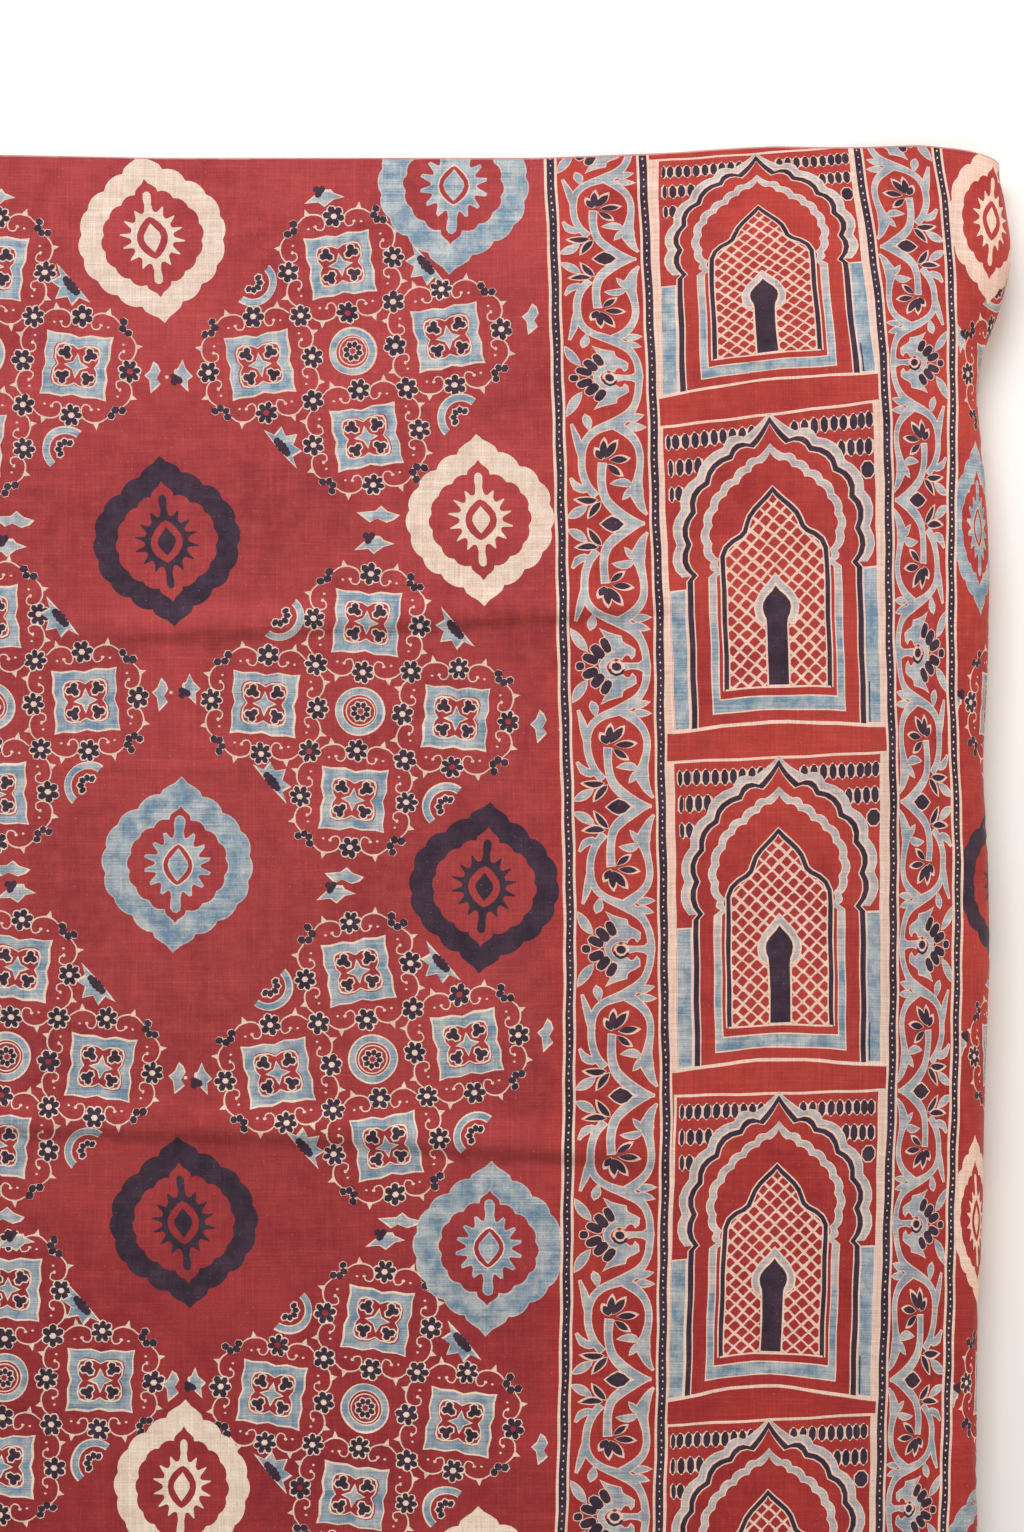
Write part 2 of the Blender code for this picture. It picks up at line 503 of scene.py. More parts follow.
# ---------------------------------------------------------------- the field
def flower(at, x, y, rng, r=10.8, petals=6, heart=CREAM, half=None, plain=False):
    """A small wreath flower. half is a direction that a mask has cut away."""
    turn = rng.uniform(0, 1.0)
    step = 2 * math.pi / petals
    far = r * 0.655
    wide = math.pi * far / petals - (0.25 if half is None else -0.35)
    if plain:
        put(CREAM, at(oval(x, y, r, r, 8)))
        put(BLACK, at(oval(x, y, r * 0.88, r * 0.88, 8)))
        put(CREAM, at(oval(x, y, r * 0.3, r * 0.3, 5)))
        return
    keep = [turn + i * step for i in range(petals)]
    if half is None:
        edge = []
        for a in keep:
            for off, k in ((-0.32, 1.02), (0.0, 1.12), (0.32, 1.02), (0.5, 0.86)):
                b = a + off * step
                edge.append((x + r * k * math.cos(b), y + r * k * math.sin(b)))
        put(CREAM, at(edge))
    else:
        keep = [a for a in keep if math.cos(a - half) < 0.25]
        for a in keep:
            put(CREAM, at(oval(x + math.cos(a) * far, y + math.sin(a) * far, r * 0.42, wide + 0.85, 6, a)))
    for a in keep:
        b = a + rng.uniform(-0.05, 0.05)
        k = far * rng.uniform(0.97, 1.05)
        put(BLACK, at(oval(x + math.cos(b) * k, y + math.sin(b) * k, r * 0.40 * rng.uniform(0.92, 1.06), wide * rng.uniform(1.0, 1.14), 6, b)))
    if half is None:
        put(BLACK, at(oval(x, y, r * 0.50, r * 0.50, 7, turn)))
        if heart is not None:
            put(heart, at(oval(x + rng.uniform(-0.6, 0.6), y + rng.uniform(-0.4, 0.4), r * 0.31, r * 0.28, 6)))


def tendril(at, ax, ay, bx, by, sx, sy, rng):
    """From a side flower A to a corner flower B, its curl on the square's side."""
    a, b = np.array([ax, ay], float), np.array([bx, by], float)
    d = b - a
    length = np.linalg.norm(d)
    d /= length
    n = np.array([d[1], -d[0]])
    if np.dot(np.array([sx, sy]) - (a + b) / 2, n) < 0:
        n = -n
    k = length / 46.0

    def q(t, h):
        return a + d * (t * length) + n * (h * k)

    j = rng.uniform(-0.6, 0.6)
    line = [q(0.43, 5.5), q(0.40, 8.8 + j), q(0.29, 10.0), q(0.22, 5.0), q(0.25, -2.5), q(0.38, -6.4), q(0.52, -7.4 + j), q(0.66, -5.6), q(0.79, -1.2)]
    put(LINE, at(ribbon(line, (1.0, 1.3, 1.2, 1.3, 1.4, 1.5, 1.6, 1.4, 1.1), 2)))
    put(LINE, at(oval(*q(0.43, 5.2), 1.9, 1.5, 6, math.atan2(d[1], d[0]))))
    put(LINE, at([q(0.46, -6.6), q(0.49, -9.4), q(0.55, -14.0 + j), q(0.60, -6.4)]))
    put(LINE, at(oval(*q(0.58, 5.8), 1.5, 1.2, 5)))


def four_sides(side):
    out = []
    for c, s in ((1, 0), (0, 1), (-1, 0), (0, -1)):
        out += [(u * c - v * s, u * s + v * c) for u, v in side]
    return np.array(out)


SQUARE_SIDE = four_sides(((-1, -1), (-0.72, -0.955), (-0.30, -0.985), (0.0, -0.90), (0.34, -0.99), (0.74, -0.955)))
INNER_SIDE = four_sides(((-0.90, -0.90), (-0.66, -0.99), (-0.26, -0.955), (0.0, -0.80), (0.26, -0.955), (0.66, -0.99)))


def trefoil(at, x, y, way, rng, size=1.0):
    """A small black clover with a thin cream edge, its single lobe inwards."""
    for ink, r, far in ((CREAM, 4.7, 3.3), (BLACK, 3.5, 3.1)):
        for a in (way - 0.95, way + 0.95, way + math.pi):
            put(ink, at(oval(x + far * size * math.cos(a), y + far * size * math.sin(a), r * size, r * 0.95 * size, 6, a)))


def square(at, x, y, rng):
    """A square with a notched blue border and four clovers round a star."""
    w, h = 33.2, 31.8
    dx, dy = rng.uniform(-1.0, 1.0), rng.uniform(-0.9, 0.9)

    def frame(shape, less, dx=0.0, dy=0.0):
        return at(shape * (w - less, h - less) + (x + dx, y + dy))

    put(CREAM, frame(SQUARE_SIDE, 0))
    put(BLUE, frame(SQUARE_SIDE, 1.9, dx * 0.7, dy * 0.7))
    put(RED, frame(INNER_SIDE, 9.8, dx, dy))
    put(CREAM, frame(INNER_SIDE, 10.2))
    put(RED, frame(INNER_SIDE, 11.8))
    for u, v in ((-1, -1), (1, -1), (1, 1), (-1, 1)):
        trefoil(at, x + u * 12.2, y + v * 11.5, math.atan2(v, u) + rng.uniform(-0.2, 0.2), rng, 1.12)
    star = []
    for i in range(8):
        r = (12.4, 5.4)[i % 2]
        star.append((r * math.cos(i * math.pi / 4), r * math.sin(i * math.pi / 4)))
    star = np.array(star)
    put(CREAM, at(star + (x, y)))
    put(BLUE, at(star * 0.80 + (x + dx * 0.5, y + dy * 0.5)))


def petals(at, x, y, r, count, turn, reach, rng):
    for ink, a_, b_ in ((CREAM, 0.42, 0.36), (BLACK, 0.33, 0.26)):
        for i in range(count):
            a = turn + i * reach
            k = r * (0.66 if ink == CREAM else 0.64)
            put(ink, at(oval(x + k * math.cos(a), y + k * math.sin(a), r * a_, r * b_, 6, a)))


def ring(at, x, y, rng):
    dx, dy = rng.uniform(-0.8, 0.8), rng.uniform(-0.6, 0.6)
    for ink, r, ox, oy in (
        (CREAM, 24.6, 0, 0), (BLUE, 23.0, dx, dy), (CREAM, 17.4, dx, dy), (RED, 16.3, dx, dy), (CREAM, 14.6, 0, 0), (RED, 13.4, 0, 0),
    ):
        put(ink, at(oval(x + ox, y + oy, r, r, 28)))
    petals(at, x, y, 10.6, 8, rng.uniform(0, 0.7), math.pi / 4, rng)
    put(RED, at(oval(x, y, 2.4, 2.4, 6)))


def half_ring(at, x, y, away, rng):
    """A ring that the mask has cut, its open side turned away from the wreath."""
    a = np.linspace(away + 1.62, away + 2 * math.pi - 1.62, 17)
    ca, sa = np.cos(a), np.sin(a)
    jx, jy = rng.uniform(-0.7, 0.7), rng.uniform(-0.7, 0.7)

    def arc(r1, r2, dx=0.0, dy=0.0):
        return at(
            np.concatenate(
                [np.stack([x + dx + r1 * ca, y + dy + r1 * sa], 1), np.stack([x + dx + r2 * ca, y + dy + r2 * sa], 1)[::-1]]
            )
        )

    put(CREAM, arc(24.2, 22.0))
    put(CREAM, arc(17.6, 16.2, jx, jy))
    put(BLUE, arc(22.9, 17.3, jx, jy))
    petals(at, x, y, 11.6, 5, away + math.pi - 2 * 0.70, 0.70, rng)


def half_star(at, x, y, away, rng, size=1.2, heart=True):
    """Half of a blue star, its points towards the wreath."""
    n = 5
    pts = []
    start = away + math.pi - 1.48
    gap = 2.96 / (n - 1)
    for i in range(n):
        b = start + i * gap
        r = (21.5, 20.0, 21.0, 20.5, 22.0)[i] * size
        if i:
            pts.append((13.6 * size * math.cos(b - gap / 2), 13.6 * size * math.sin(b - gap / 2)))
        pts.append((r * math.cos(b), r * math.sin(b)))
    foot = away + math.pi
    pts += [(3.0 * size * math.cos(foot + 1.2), 3.0 * size * math.sin(foot + 1.2)), (3.0 * size * math.cos(foot - 1.2), 3.0 * size * math.sin(foot - 1.2))]
    pts = np.array(pts)
    c = pts.mean(0)
    dx, dy = rng.uniform(-0.5, 0.5), rng.uniform(-0.5, 0.5)
    put(CREAM, at(pts + (x, y)))
    put(BLUE, at((pts - c) * 0.87 + c + (x + dx, y + dy)))
    if heart:
        for off, r in ((-8.6, 3.2), (-4.6, 4.0), (0.0, 4.5), (4.6, 4.0), (8.6, 3.0)):
            cx = x + 4.6 * size * math.cos(foot) - off * math.sin(foot)
            cy = y + 4.6 * size * math.sin(foot) + off * math.cos(foot)
            put(BLACK, at(oval(cx, cy, r * size, r * 0.8 * size, 8, foot)))


def tip_star(at, x, y, away, rng, heart=False):
    """The small cut star at each end of a wreath; on some a black bud."""
    s = math.cos(away), math.sin(away)
    u = (-s[1], s[0])
    wide = 1.25 if abs(s[1]) > 0.5 else 1.0

    def q(f, g):
        return (x - s[0] * f + u[0] * g * wide, y - s[1] * f + u[1] * g * wide)

    j = rng.uniform(-1, 1)
    if heart:
        body = [q(2 + j, 16.5), q(4.5, 8), q(12, 1 + j), q(7, -4), q(8, -15), q(0, -7.5), q(-3.5, -2.5), q(-6.5, 6 + j), q(-2.5, 8)]
    else:
        body = [q(-1, -16 - j), q(3, -6.5), q(8.8, -1.5), q(4, 3.4), q(2.5, 17.5 + j), q(-3.5, 12), q(-7.5, 8), q(-3.6, 2), q(-8, -5.5), q(-5.5, -12)]
    body = np.array(body)
    c = body.mean(0)
    put(CREAM, at(body))
    put(STEM, at((body - c) * (0.84, 0.84) + c))
    if heart:
        put(CREAM, at(oval(*q(-5.0, 3.2), 4.2, 1.6, 6, away + math.pi / 2)))
        for f, g, r in ((-6.0, -1.5, 4.6), (-1.8, -3.6, 4.6), (-6.8, -6.0, 3.6)):
            put(BLACK, at(oval(*q(f, g), r, r * 0.78, 7, away + 0.6)))


WREATH_X, WREATH_Y = 95.0, 88.0


def wreath(x, y, turn, seed, sx=1.0, sy=1.0, cuts=((None, None),) * 4, hidden=None):
    """Four squares round a ring, each in its own circle of eight flowers."""
    rng = random.Random(seed)
    at = Block(x, y, turn, sx, sy)
    here = Block(0, 0)
    squares = ((0, -WREATH_Y), (WREATH_X, 0), (0, WREATH_Y), (-WREATH_X, 0))
    done = []
    tendrils, flowers = [], []
    for k, (qx, qy) in enumerate(squares):
        sides = ((qx, qy - 49), (qx + 53, qy), (qx, qy + 49), (qx - 53, qy))
        corners = ((qx + 47, qy - 45), (qx + 47, qy + 45), (qx - 47, qy + 45), (qx - 47, qy - 45))
        for i in range(4):
            tendrils.append((*sides[i], *corners[i], qx, qy))
            tendrils.append((*sides[i], *corners[(i - 1) % 4], qx, qy))
        flowers += [(p, None) for p in sides]
        for p in corners:
            # Corners that face away from the ring were cut by the mask.
            inner = abs(p[0]) < 60 and abs(p[1]) < 60
            out = None if inner else math.atan2(p[1] * 1.0, p[0])
            if not inner:
                out = math.atan2(math.copysign(1, p[1]), math.copysign(1, p[0]))
            flowers.append((p, out))
    for t in tendrils:
        tendril(at, *t, rng)
    for p, out in flowers:
        if any(abs(p[0] - a) + abs(p[1] - b) < 14 for a, b in done):
            continue
        done.append(p)
        heart = rng.choice((CREAM,) * 8 + (RED,))
        flower(at, p[0], p[1], rng, petals=rng.choice((6, 6, 7, 7)), heart=heart, half=out, r=10.8, plain=hidden is not None and p[0] > hidden)
    for qx, qy in squares:
        square(at, qx, qy, rng)
    ring(at, 0, 0, rng)
    for kind, (px, py), corner in zip((0, 1, 0, 1), cuts, ((-1, -1), (1, -1), (1, 1), (-1, 1))):
        away = math.atan2(corner[1] * 0.85, corner[0])
        if px is None:
            px, py = at([(corner[0] * 90, corner[1] * 88)])[0]
        (half_ring, half_star)[kind](here, px, py, away, rng)


RING_CUSPS = ((0, -86.5), (20.5, -67.5), (41.5, -52.5), (60.5, -36), (70.5, -12.5), (70.5, 12), (60.5, 36), (42, 52.5), (20.5, 67.5), (0, 87))
EYE_CUSPS = ((0, -60.5), (11.5, -45.5), (27, -37), (41, -25.5), (48.5, -8.5), (48.5, 8.5), (41.5, 25.5), (28, 38), (12, 46.5), (0, 61))


def lobed(cusps, bulge, k, tip):
    """A pointed oval with a lobe between each two cusps; its tips are drawn out."""
    p = np.array(cusps, float)
    out = []
    last = len(p) - 2
    for i in range(len(p) - 1):
        a, b = p[i], p[i + 1]
        d = b - a
        n = np.array([d[1], -d[0]]) / np.linalg.norm(d)
        out.append(a)
        if i in (0, last):
            f = (0.30, 0.55, 0.80) if i == 0 else (0.20, 0.45, 0.70)
            h = (-0.12, 0.45, 0.75) if i == 0 else (0.75, 0.45, -0.12)
            out += [a + d * f[j] + n * (tip * h[j]) for j in range(3)]
        else:
            for j in range(1, k):
                t = j / k
                out.append(a + d * t + n * (bulge * math.sin(math.pi * t) ** 0.75))
    out.append(p[-1])
    out = np.array(out)
    return np.concatenate([out, (out * (-1, 1))[1:-1][::-1]])


def medallion(x, y, ink, turn, seed, w=75.5, h=86.0):
    rng = random.Random(seed)
    at = Block(x, y, turn, w / 75.5, h / 86.0)
    edge = 1.3 if ink == BLUE else 0.0

    def both(p):
        if edge:
            put(GREY, at(grown(p, edge)))
        put(ink, at(p))

    both(lobed(RING_CUSPS, 4.4, 5, 3.0))
    inner = lobed(EYE_CUSPS, 3.4, 4, 2.4)
    if edge:
        put(GREY, at(inner))
        put(RED, at(grown(inner, -edge)))
    else:
        put(RED, at(inner))
    # The star: a ring of short spikes with a long ray above and below
    spikes = 14
    pts = []
    for i in range(spikes):
        a = 2 * math.pi * i / spikes + math.pi / 2
        step = math.pi / spikes
        length = (0, 7.5, 9.0, 10.0, 10.5, 9.0, 7.5)[i % 7] + rng.uniform(-0.6, 0.6)

        def on(angle, more):
            c, s = math.cos(angle), math.sin(angle)
            r = ((abs(c) / 22.0) ** 1.9 + (abs(s) / 27.0) ** 1.9) ** (-1 / 1.9)
            return ((r + more) * c, (r + more) * s)

        if i % 7 == 0:
            sg = 1 if i == 0 else -1
            for u, v in ((4.4, 27.0), (3.4, 33.0), (4.3, 40.0), (3.8, 45.5), (1.2, 47.5), (-1.8, 47.0), (-4.0, 44.0), (-3.9, 38.0), (-3.2, 33.0), (-4.4, 27.0)):
                pts.append((u * sg, v * sg))
        else:
            pts += [on(a - step * 0.54, 0.6), on(a - step * 0.06, length), on(a + step * 0.10, length - 0.4), on(a + step * 0.54, 0.6)]
        pts.append(on(a + step, -0.6))
    both(np.array(pts))
    eye = np.array([(0, -21.3), (4.5, -19), (10.5, -13), (14.8, -6), (16, 0.5), (14.6, 7), (10.5, 13.5), (4.5, 19), (0, 21.3)], float)
    eye = np.concatenate([eye, (eye * (-1, 1))[1:-1][::-1]])
    if edge:
        put(CREAM, at(eye))
        put(RED, at(grown(eye, -edge)))
    else:
        put(RED, at(eye))
    pip = np.array([(0, -14.5), (4.0, -9.5), (8.2, -4.0), (9.0, 0.5), (7.0, 5.5), (3.4, 10.5), (0, 14.5)], float)
    both(np.concatenate([pip, (pip * (-1, 1))[1:-1][::-1]]))


# ---------------------------------------------------------------- border lines
# Where the four striped lines run: x of the black stripe's middle at each y.
LINES = (
    ((140, 549.5), (233, 553), (325, 555), (418, 558), (560, 563), (603, 563.5), (906, 569), (1100, 570), (1300, 566), (1532, 561), (1680, 559)),
    ((140, 642), (233, 647), (325, 650), (418, 654), (560, 658), (603, 660), (818, 662.5), (1100, 667), (1300, 664), (1500, 660), (1680, 658)),
    ((140, 854), (180, 860), (233, 869), (325, 881), (418, 886), (560, 889), (603, 889), (818, 893), (1100, 892), (1238, 886), (1375, 882), (1532, 878), (1680, 876)),
    ((140, 935), (202, 946), (294, 951), (418, 952), (560, 952), (700, 952.5), (853, 957), (1083, 956), (1238, 951), (1375, 947), (1532, 943), (1680, 941)),
)
# Left cream, black and right cream widths of each line.
LINE_WIDTHS = ((2.8, 7.7, 2.6), (2.5, 7.8, 2.3), (2.3, 7.2, 2.3), (2.5, 6.0, 2.4))


def line_x(k, y):
    ys, xs = zip(*LINES[k])
    y = np.asarray(y, float)
    return sum(np.interp(y + o, ys, xs) * w for o, w in ((-30, 0.25), (0, 0.5), (30, 0.25)))


def stripe(k, lo, hi, ink, step=13.0, y0=120.0, y1=1690.0):
    ys = np.arange(y0, y1 + step, step)
    xs = line_x(k, ys)
    put(ink, np.concatenate([np.stack([xs + lo, ys], 1), np.stack([xs + hi, ys], 1)[::-1]]))


def border_line(k):
    left, mid, right = LINE_WIDTHS[k]
    stripe(k, -mid / 2 - left, mid / 2 + right, CREAM)
    stripe(k, -mid / 2, mid / 2, BLACK)
    rng = random.Random(40 + k)
    y = 122.0
    while y < 1690:
        x = float(line_x(k, y)) + rng.uniform(-0.5, 0.5)
        r = rng.uniform(1.0, 1.35)
        put(CREAM, [(x - r * 0.8, y), (x, y - r), (x + r * 0.8, y), (x, y + r)])
        y += rng.uniform(6.6, 7.8)


# ---------------------------------------------------------------- vine borders
# Along each vine, every other row is a V where two stems meet and the ones
# between are bud heads: y in the photograph's frame.
VINE_ROWS = (
    (142, 259, 378, 523, 667, 806, 949, 1096, 1234, 1380, 1516, 1660),
    (130, 247, 362, 500, 653, 801, 945, 1090, 1224, 1380, 1508, 1650),
)


def vine(band):
    """band 0 lies left of the arches, band 1 right of them, its mirror image."""
    left, right = ((0, 1), (2, 3))[band]
    side = (1, -1)[band]
    rows = VINE_ROWS[band]

    def to(origin, reach, sign):
        def at(points):
            p = np.asarray(points, float)
            y = origin + sign * p[:, 1] * reach / 142.5
            x1, x2 = line_x(left, y), line_x(right, y)
            return np.stack([(x1 + x2) / 2 + side * p[:, 0] * (x2 - x1) / 93.0, y], 1)

        return at

    for layer in range(3):
        for i in range(1, len(rows), 2):
            for sign, other in ((-1, i - 1), (1, i + 1)):
                if 0 <= other < len(rows):
                    half_unit(to(rows[i], abs(rows[other] - rows[i]), sign), random.Random(band * 100 + i * 2 + (sign > 0)), layer)
        for i, row in enumerate(rows):
            reach = abs(rows[i - 1] - row) if i else abs(rows[1] - row)
            at = to(row, reach, 1)
            if i % 2 == 1:
                v_heart(at, layer)
            else:
                bud_head(at, random.Random(band * 37 + i), layer)


def many(at, parts, layer, line=1.15):
    """Blue pieces that share one cream outline: each is a function of grow."""
    for piece in parts:
        if layer == 0:
            put(LINE, at(piece(line)))
        elif layer == 1:
            put(STEM, at(piece(0.0)))


def half_unit(at, rng, layer):
    """Half a repeat of the vine, from the V's axis at b = 0 to the bud's at 142.5."""
    ring_stem = [(-12.3, 28), (-19.5, 37), (-24.2, 49), (-25.6, 62), (-24.4, 74), (-19, 84), (-9.2, 91.5), (3, 96.5), (13, 100.5), (21.5, 106.5), (28.0, 115), (32.4, 127.5), (33.8, 143.5)]
    ring_width = (6.5, 6.0, 5.6, 5.4, 5.8, 5.4, 6.0, 7.6, 9.5, 7.5, 5.4, 5.2, 5.6)
    v_stem = [(35, -0.4), (29, 1.0), (22, 3.2), (12.5, 9.0), (4.5, 16), (-1.8, 24), (-5.0, 35), (-5.8, 47), (-5.2, 58.5)]
    v_width = (0.8, 4.6, 7.4, 8.4, 8.0, 7.2, 6.4, 6.2, 6.6)
    right_stem = [(37.5, 9.5), (33.5, 15), (30, 23), (27.5, 32), (29.6, 43), (32.0, 54), (32.8, 66), (30.5, 76.5), (25, 85), (17.5, 91.5), (10, 96)]
    right_width = (0.8, 5.0, 8.6, 12.5, 7.0, 5.2, 5.0, 5.4, 6.4, 7.6, 8.0)

    many(
        at,
        (
            lambda g: leaf(-21, 17.6, -40, 6.0, 7.8, -0.8, 5, 0.5, g),
            lambda g: ribbon(ring_stem, ring_width, 2, g),
            lambda g: ribbon(right_stem, right_width, 2, g),
            # the leaf's hooks
            lambda g: leaf(24, 37.5, 3.5, 39.5, 7.0, 2.2, 4, 0.42, g),
            lambda g: leaf(23, 35, 15.0, 24.0, 5.2, -0.6, 3, 0.4, g),
            # a small leaf over the left of the ring, and the tail below it
            lambda g: ribbon([(-17, 36.5), (-24, 34.0), (-31, 36.5), (-36, 44)], (4.0, 6.4, 6.4, 1.0), 2, g),
            lambda g: ribbon([(-25, 64), (-27, 74), (-30, 85), (-33.8, 96.5)], (5.0, 6.8, 5.0, 0.9), 2, g),
            lambda g: leaf(-16.5, 90, -20.5, 106, 7.6, 0.5, 4, 0.6, g),
            # the serrated leaf where the stem turns
            lambda g: leaf(20, 96, 37.5, 94.0, 6.4, 0.8, 3, 0.4, g),
            lambda g: leaf(20, 100, 36.0, 105.5, 6.4, -0.5, 3, 0.4, g),
            lambda g: ribbon(v_stem, v_width, 2, g),
            lambda g: leaf(-23.5, 128.0, -38.6, 105.5, 8.2, 0.8, 5, 0.5, g),
        ),
        layer,
    )
    if layer < 2:
        return
    # Black petals beside the V
    for x0, y0, x1, y1, bend in ((-7.2, 22.0, -20.6, 5.2, 0.8), (-10.5, 23.8, -33.0, 23.5, -1.2)):
        put(LINE, at(leaf(x0, y0, x1, y1, 7.0, bend, 5, 0.45, 1.1)))
        put(BLACK, at(leaf(x0 * 1.0, y0, x1 * 0.95, y1 + 0.5, 6.4, bend, 5, 0.45)))
    # The lotus in its ring
    fan = ((121, 1.0, 13.0, 7.0), (84, 2.0, 20.5, 7.4), (52, 2.5, 24.0, 7.8), (6, 6.5, 26.0, 6.8), (-36, 6.0, 22.5, 6.4))
    x, y = -4.8, 61.5
    for ink, grow in ((LINE, 0.9), (BLACK, 0.0)):
        for turn, near, far, width in fan:
            a = math.radians(turn + (rng.uniform(-2.5, 2.5) if ink == BLACK else 0))
            c, s = math.cos(a), math.sin(a)
            tip = far + (1.6 if ink == LINE else -0.6)
            put(ink, at(leaf(x + c * near, y + s * near, x + c * tip, y + s * tip, width, 0, 5, 0.52, grow)))


def v_heart(at, layer):
    """The black bud that lies in each V."""
    if layer == 2:
        p = np.array([(-8.0, 0.5), (-2.5, -4.6), (3.0, -7.6), (9.5, -5.2), (15.2, 0), (9.5, 5.6), (3.2, 7.9), (-2.5, 5.4)])
        put(CREAM, at(grown(p, 1.2)))
        put(BLACK, at(p))


def bud_head(at, rng, layer):
    """The scaled bud head and its two blue leaves, whole, about its axis b = 0."""
    wing = [(-10.5, -36.5), (-4.5, -33), (2.5, -31), (9.2, -29.6), (10.0, -25.0), (13.5, -22), (18, -20), (22.2, -17.0), (21.8, -11), (19.5, -8.6), (17.5, -12.0), (13.5, -12.6), (9.6, -9.0), (4.0, -10.5), (0.5, -16), (-2.8, -23), (-6.2, -29.5)]
    parts = []
    for mirror in (1, -1):
        w = np.array(wing) * (1, mirror)
        parts.append(lambda g, w=w: grown(w, g) if g else w)
    # the stem flares from the vine and cups the eye
    parts.append(lambda g: ribbon([(33, 0), (26, 0.3), (19, -0.2), (12, 0.2)], (15.0, 5.4, 4.2, 6.5), 3, g))
    parts.append(lambda g: ribbon([(10, -9), (3.5, -11), (-4, -8), (-8.8, -1.0), (-6.5, 6.5), (0, 11), (8, 10)], (3.0, 4.6, 5.6, 5.4, 5.0, 4.0, 2.6), 2, g))
    many(at, parts, layer)
    if layer < 2:
        return
    scales = (
        (-6.0, -20.4, 9.4, 16.4, -26), (-13.8, -14.2, 10.6, 17.6, -42), (-20.6, -7.0, 10.0, 17.2, -66), (-30.6, 0.4, 9.2, 9.0, 0),
        (-20.6, 7.0, 10.0, 17.0, 66), (-13.6, 14.0, 10.6, 17.2, 42), (-5.4, 20.6, 9.8, 16.0, 30),
    )
    t = np.arange(9) * 2 * math.pi / 9 + math.pi / 9
    for ink, more in ((LINE, 0.9), (BLACK, 0.0)):
        for x, y, w, h, turn in scales:
            a = math.radians(turn + rng.uniform(-2, 2))
            c, s = np.cos(t), np.sin(t)
            # nearly square scales with rounded corners
            px = np.sign(c) * np.abs(c) ** 0.75 * (w / 2 - 0.3 + more)
            py = np.sign(s) * np.abs(s) ** 0.75 * (h / 2 - 0.3 + more)
            ca, sa = math.cos(a), math.sin(a)
            put(ink, at(np.stack([x + px * ca - py * sa, y + px * sa + py * ca], 1)))
    # the eye: black in a cream ring, a dark arc below and a red dot above
    put(LINE, at(oval(4.3, 0.2, 7.4, 7.2, 11)))
    put(BLACK, at([(-3.6, 2.0), (-1.6, 7.4), (4.0, 10.2), (10.0, 8.2), (12.6, 2.6), (9.8, 3.4), (7.6, 6.2), (3.6, 7.2), (0.4, 5.2), (-1.6, 1.6)]))
    put(BLACK, at(oval(4.3, 0.2, 4.9, 4.3, 9, 0.4)))
    put(RED, at(oval(3.8, -6.4, 2.2, 1.7, 6)))


# ---------------------------------------------------------------- arches
# Corners of each arch block: top left, top right, bottom right, bottom left,
# then how far its foot bows up in the middle.
ARCHES = (
    ((657, 159), (852, 146), (880.5, 368), (660, 395), 3.0),
    ((661, 426), (878, 399), (886, 720), (673, 730), 4.0),
    ((673, 761), (885, 750), (885, 1059), (676, 1068), 5.0),
    ((675, 1095), (882, 1088), (875, 1391), (666, 1396), 8.0),
    ((666, 1425), (874, 1412), (868, 1716), (662, 1722), 5.0),
)
CUSPS = ((0, 6.5), (17, 29), (38, 38), (61, 61), (76, 88), (81, 119), (77.5, 151))
INNER_CUSPS = ((0, 33), (10.5, 44), (21.5, 51), (34, 61.5), (46, 72), (56, 86), (62, 103), (62.5, 121), (57, 138), (54, 149))
OGEE = ((0, 73.5), (4.5, 79), (10, 84.5), (17, 91.5), (22, 98), (25.0, 105), (27.5, 112), (32, 116.5), (39.5, 120.5), (46, 126.5), (49.6, 135), (50, 146))
# Rows of bricks behind each arch: top, bottom, and where the bricks stand
BRICKS = (
    (9.5, 25.5, (-96.5, -89.5, -80.5, -71.5, -62, -53, -44, -35, -26, -17.5, 24, 33.5, 43, 52.5, 61.5, 70.5, 79.5, 87.0, 94.2)),
    (34, 51, (-95.5, -87, -78, -69, 68, 76.6, 85.2, 93.6)),
    (60, 76, (-95, -88, )),
)


def grow_cusps(points, d):
    """The line of cusps moved outwards by d, its apex still pointed."""
    p = np.array(points, float)
    e = np.diff(p, axis=0)
    n = np.stack([e[:, 1], -e[:, 0]], 1)
    n /= np.linalg.norm(n, axis=1, keepdims=True)
    up = math.copysign(min(abs(d), 3.0) * 1.3 + max(abs(d) - 3.0, 0.0) * 0.35, d)
    out = [(0.0, p[0, 1] - up)]
    for i in range(1, len(p) - 1):
        m = n[i - 1] + n[i]
        m /= np.linalg.norm(m)
        out.append(p[i] + m * d / max(float(m @ n[i]), 0.7))
    out.append(p[-1] + (d, 0))
    return np.array(out)


def half_arch(points, bulge, d, k=4, first=-1.0):
    """From the apex down one side: lobes that stand out between the cusps."""
    p = grow_cusps(points, d)
    if not bulge:
        return p
    out = []
    for i in range(len(p) - 1):
        a, b = p[i], p[i + 1]
        e = b - a
        n = np.array([e[1], -e[0]]) / np.linalg.norm(e)
        size = first if i == 0 else bulge
        for j in range(k):
            t = j / k
            out.append(a + e * t + n * (size * math.sin(math.pi * t) ** 0.8 if j else 0))
    out.append(p[-1])
    return np.array(out)


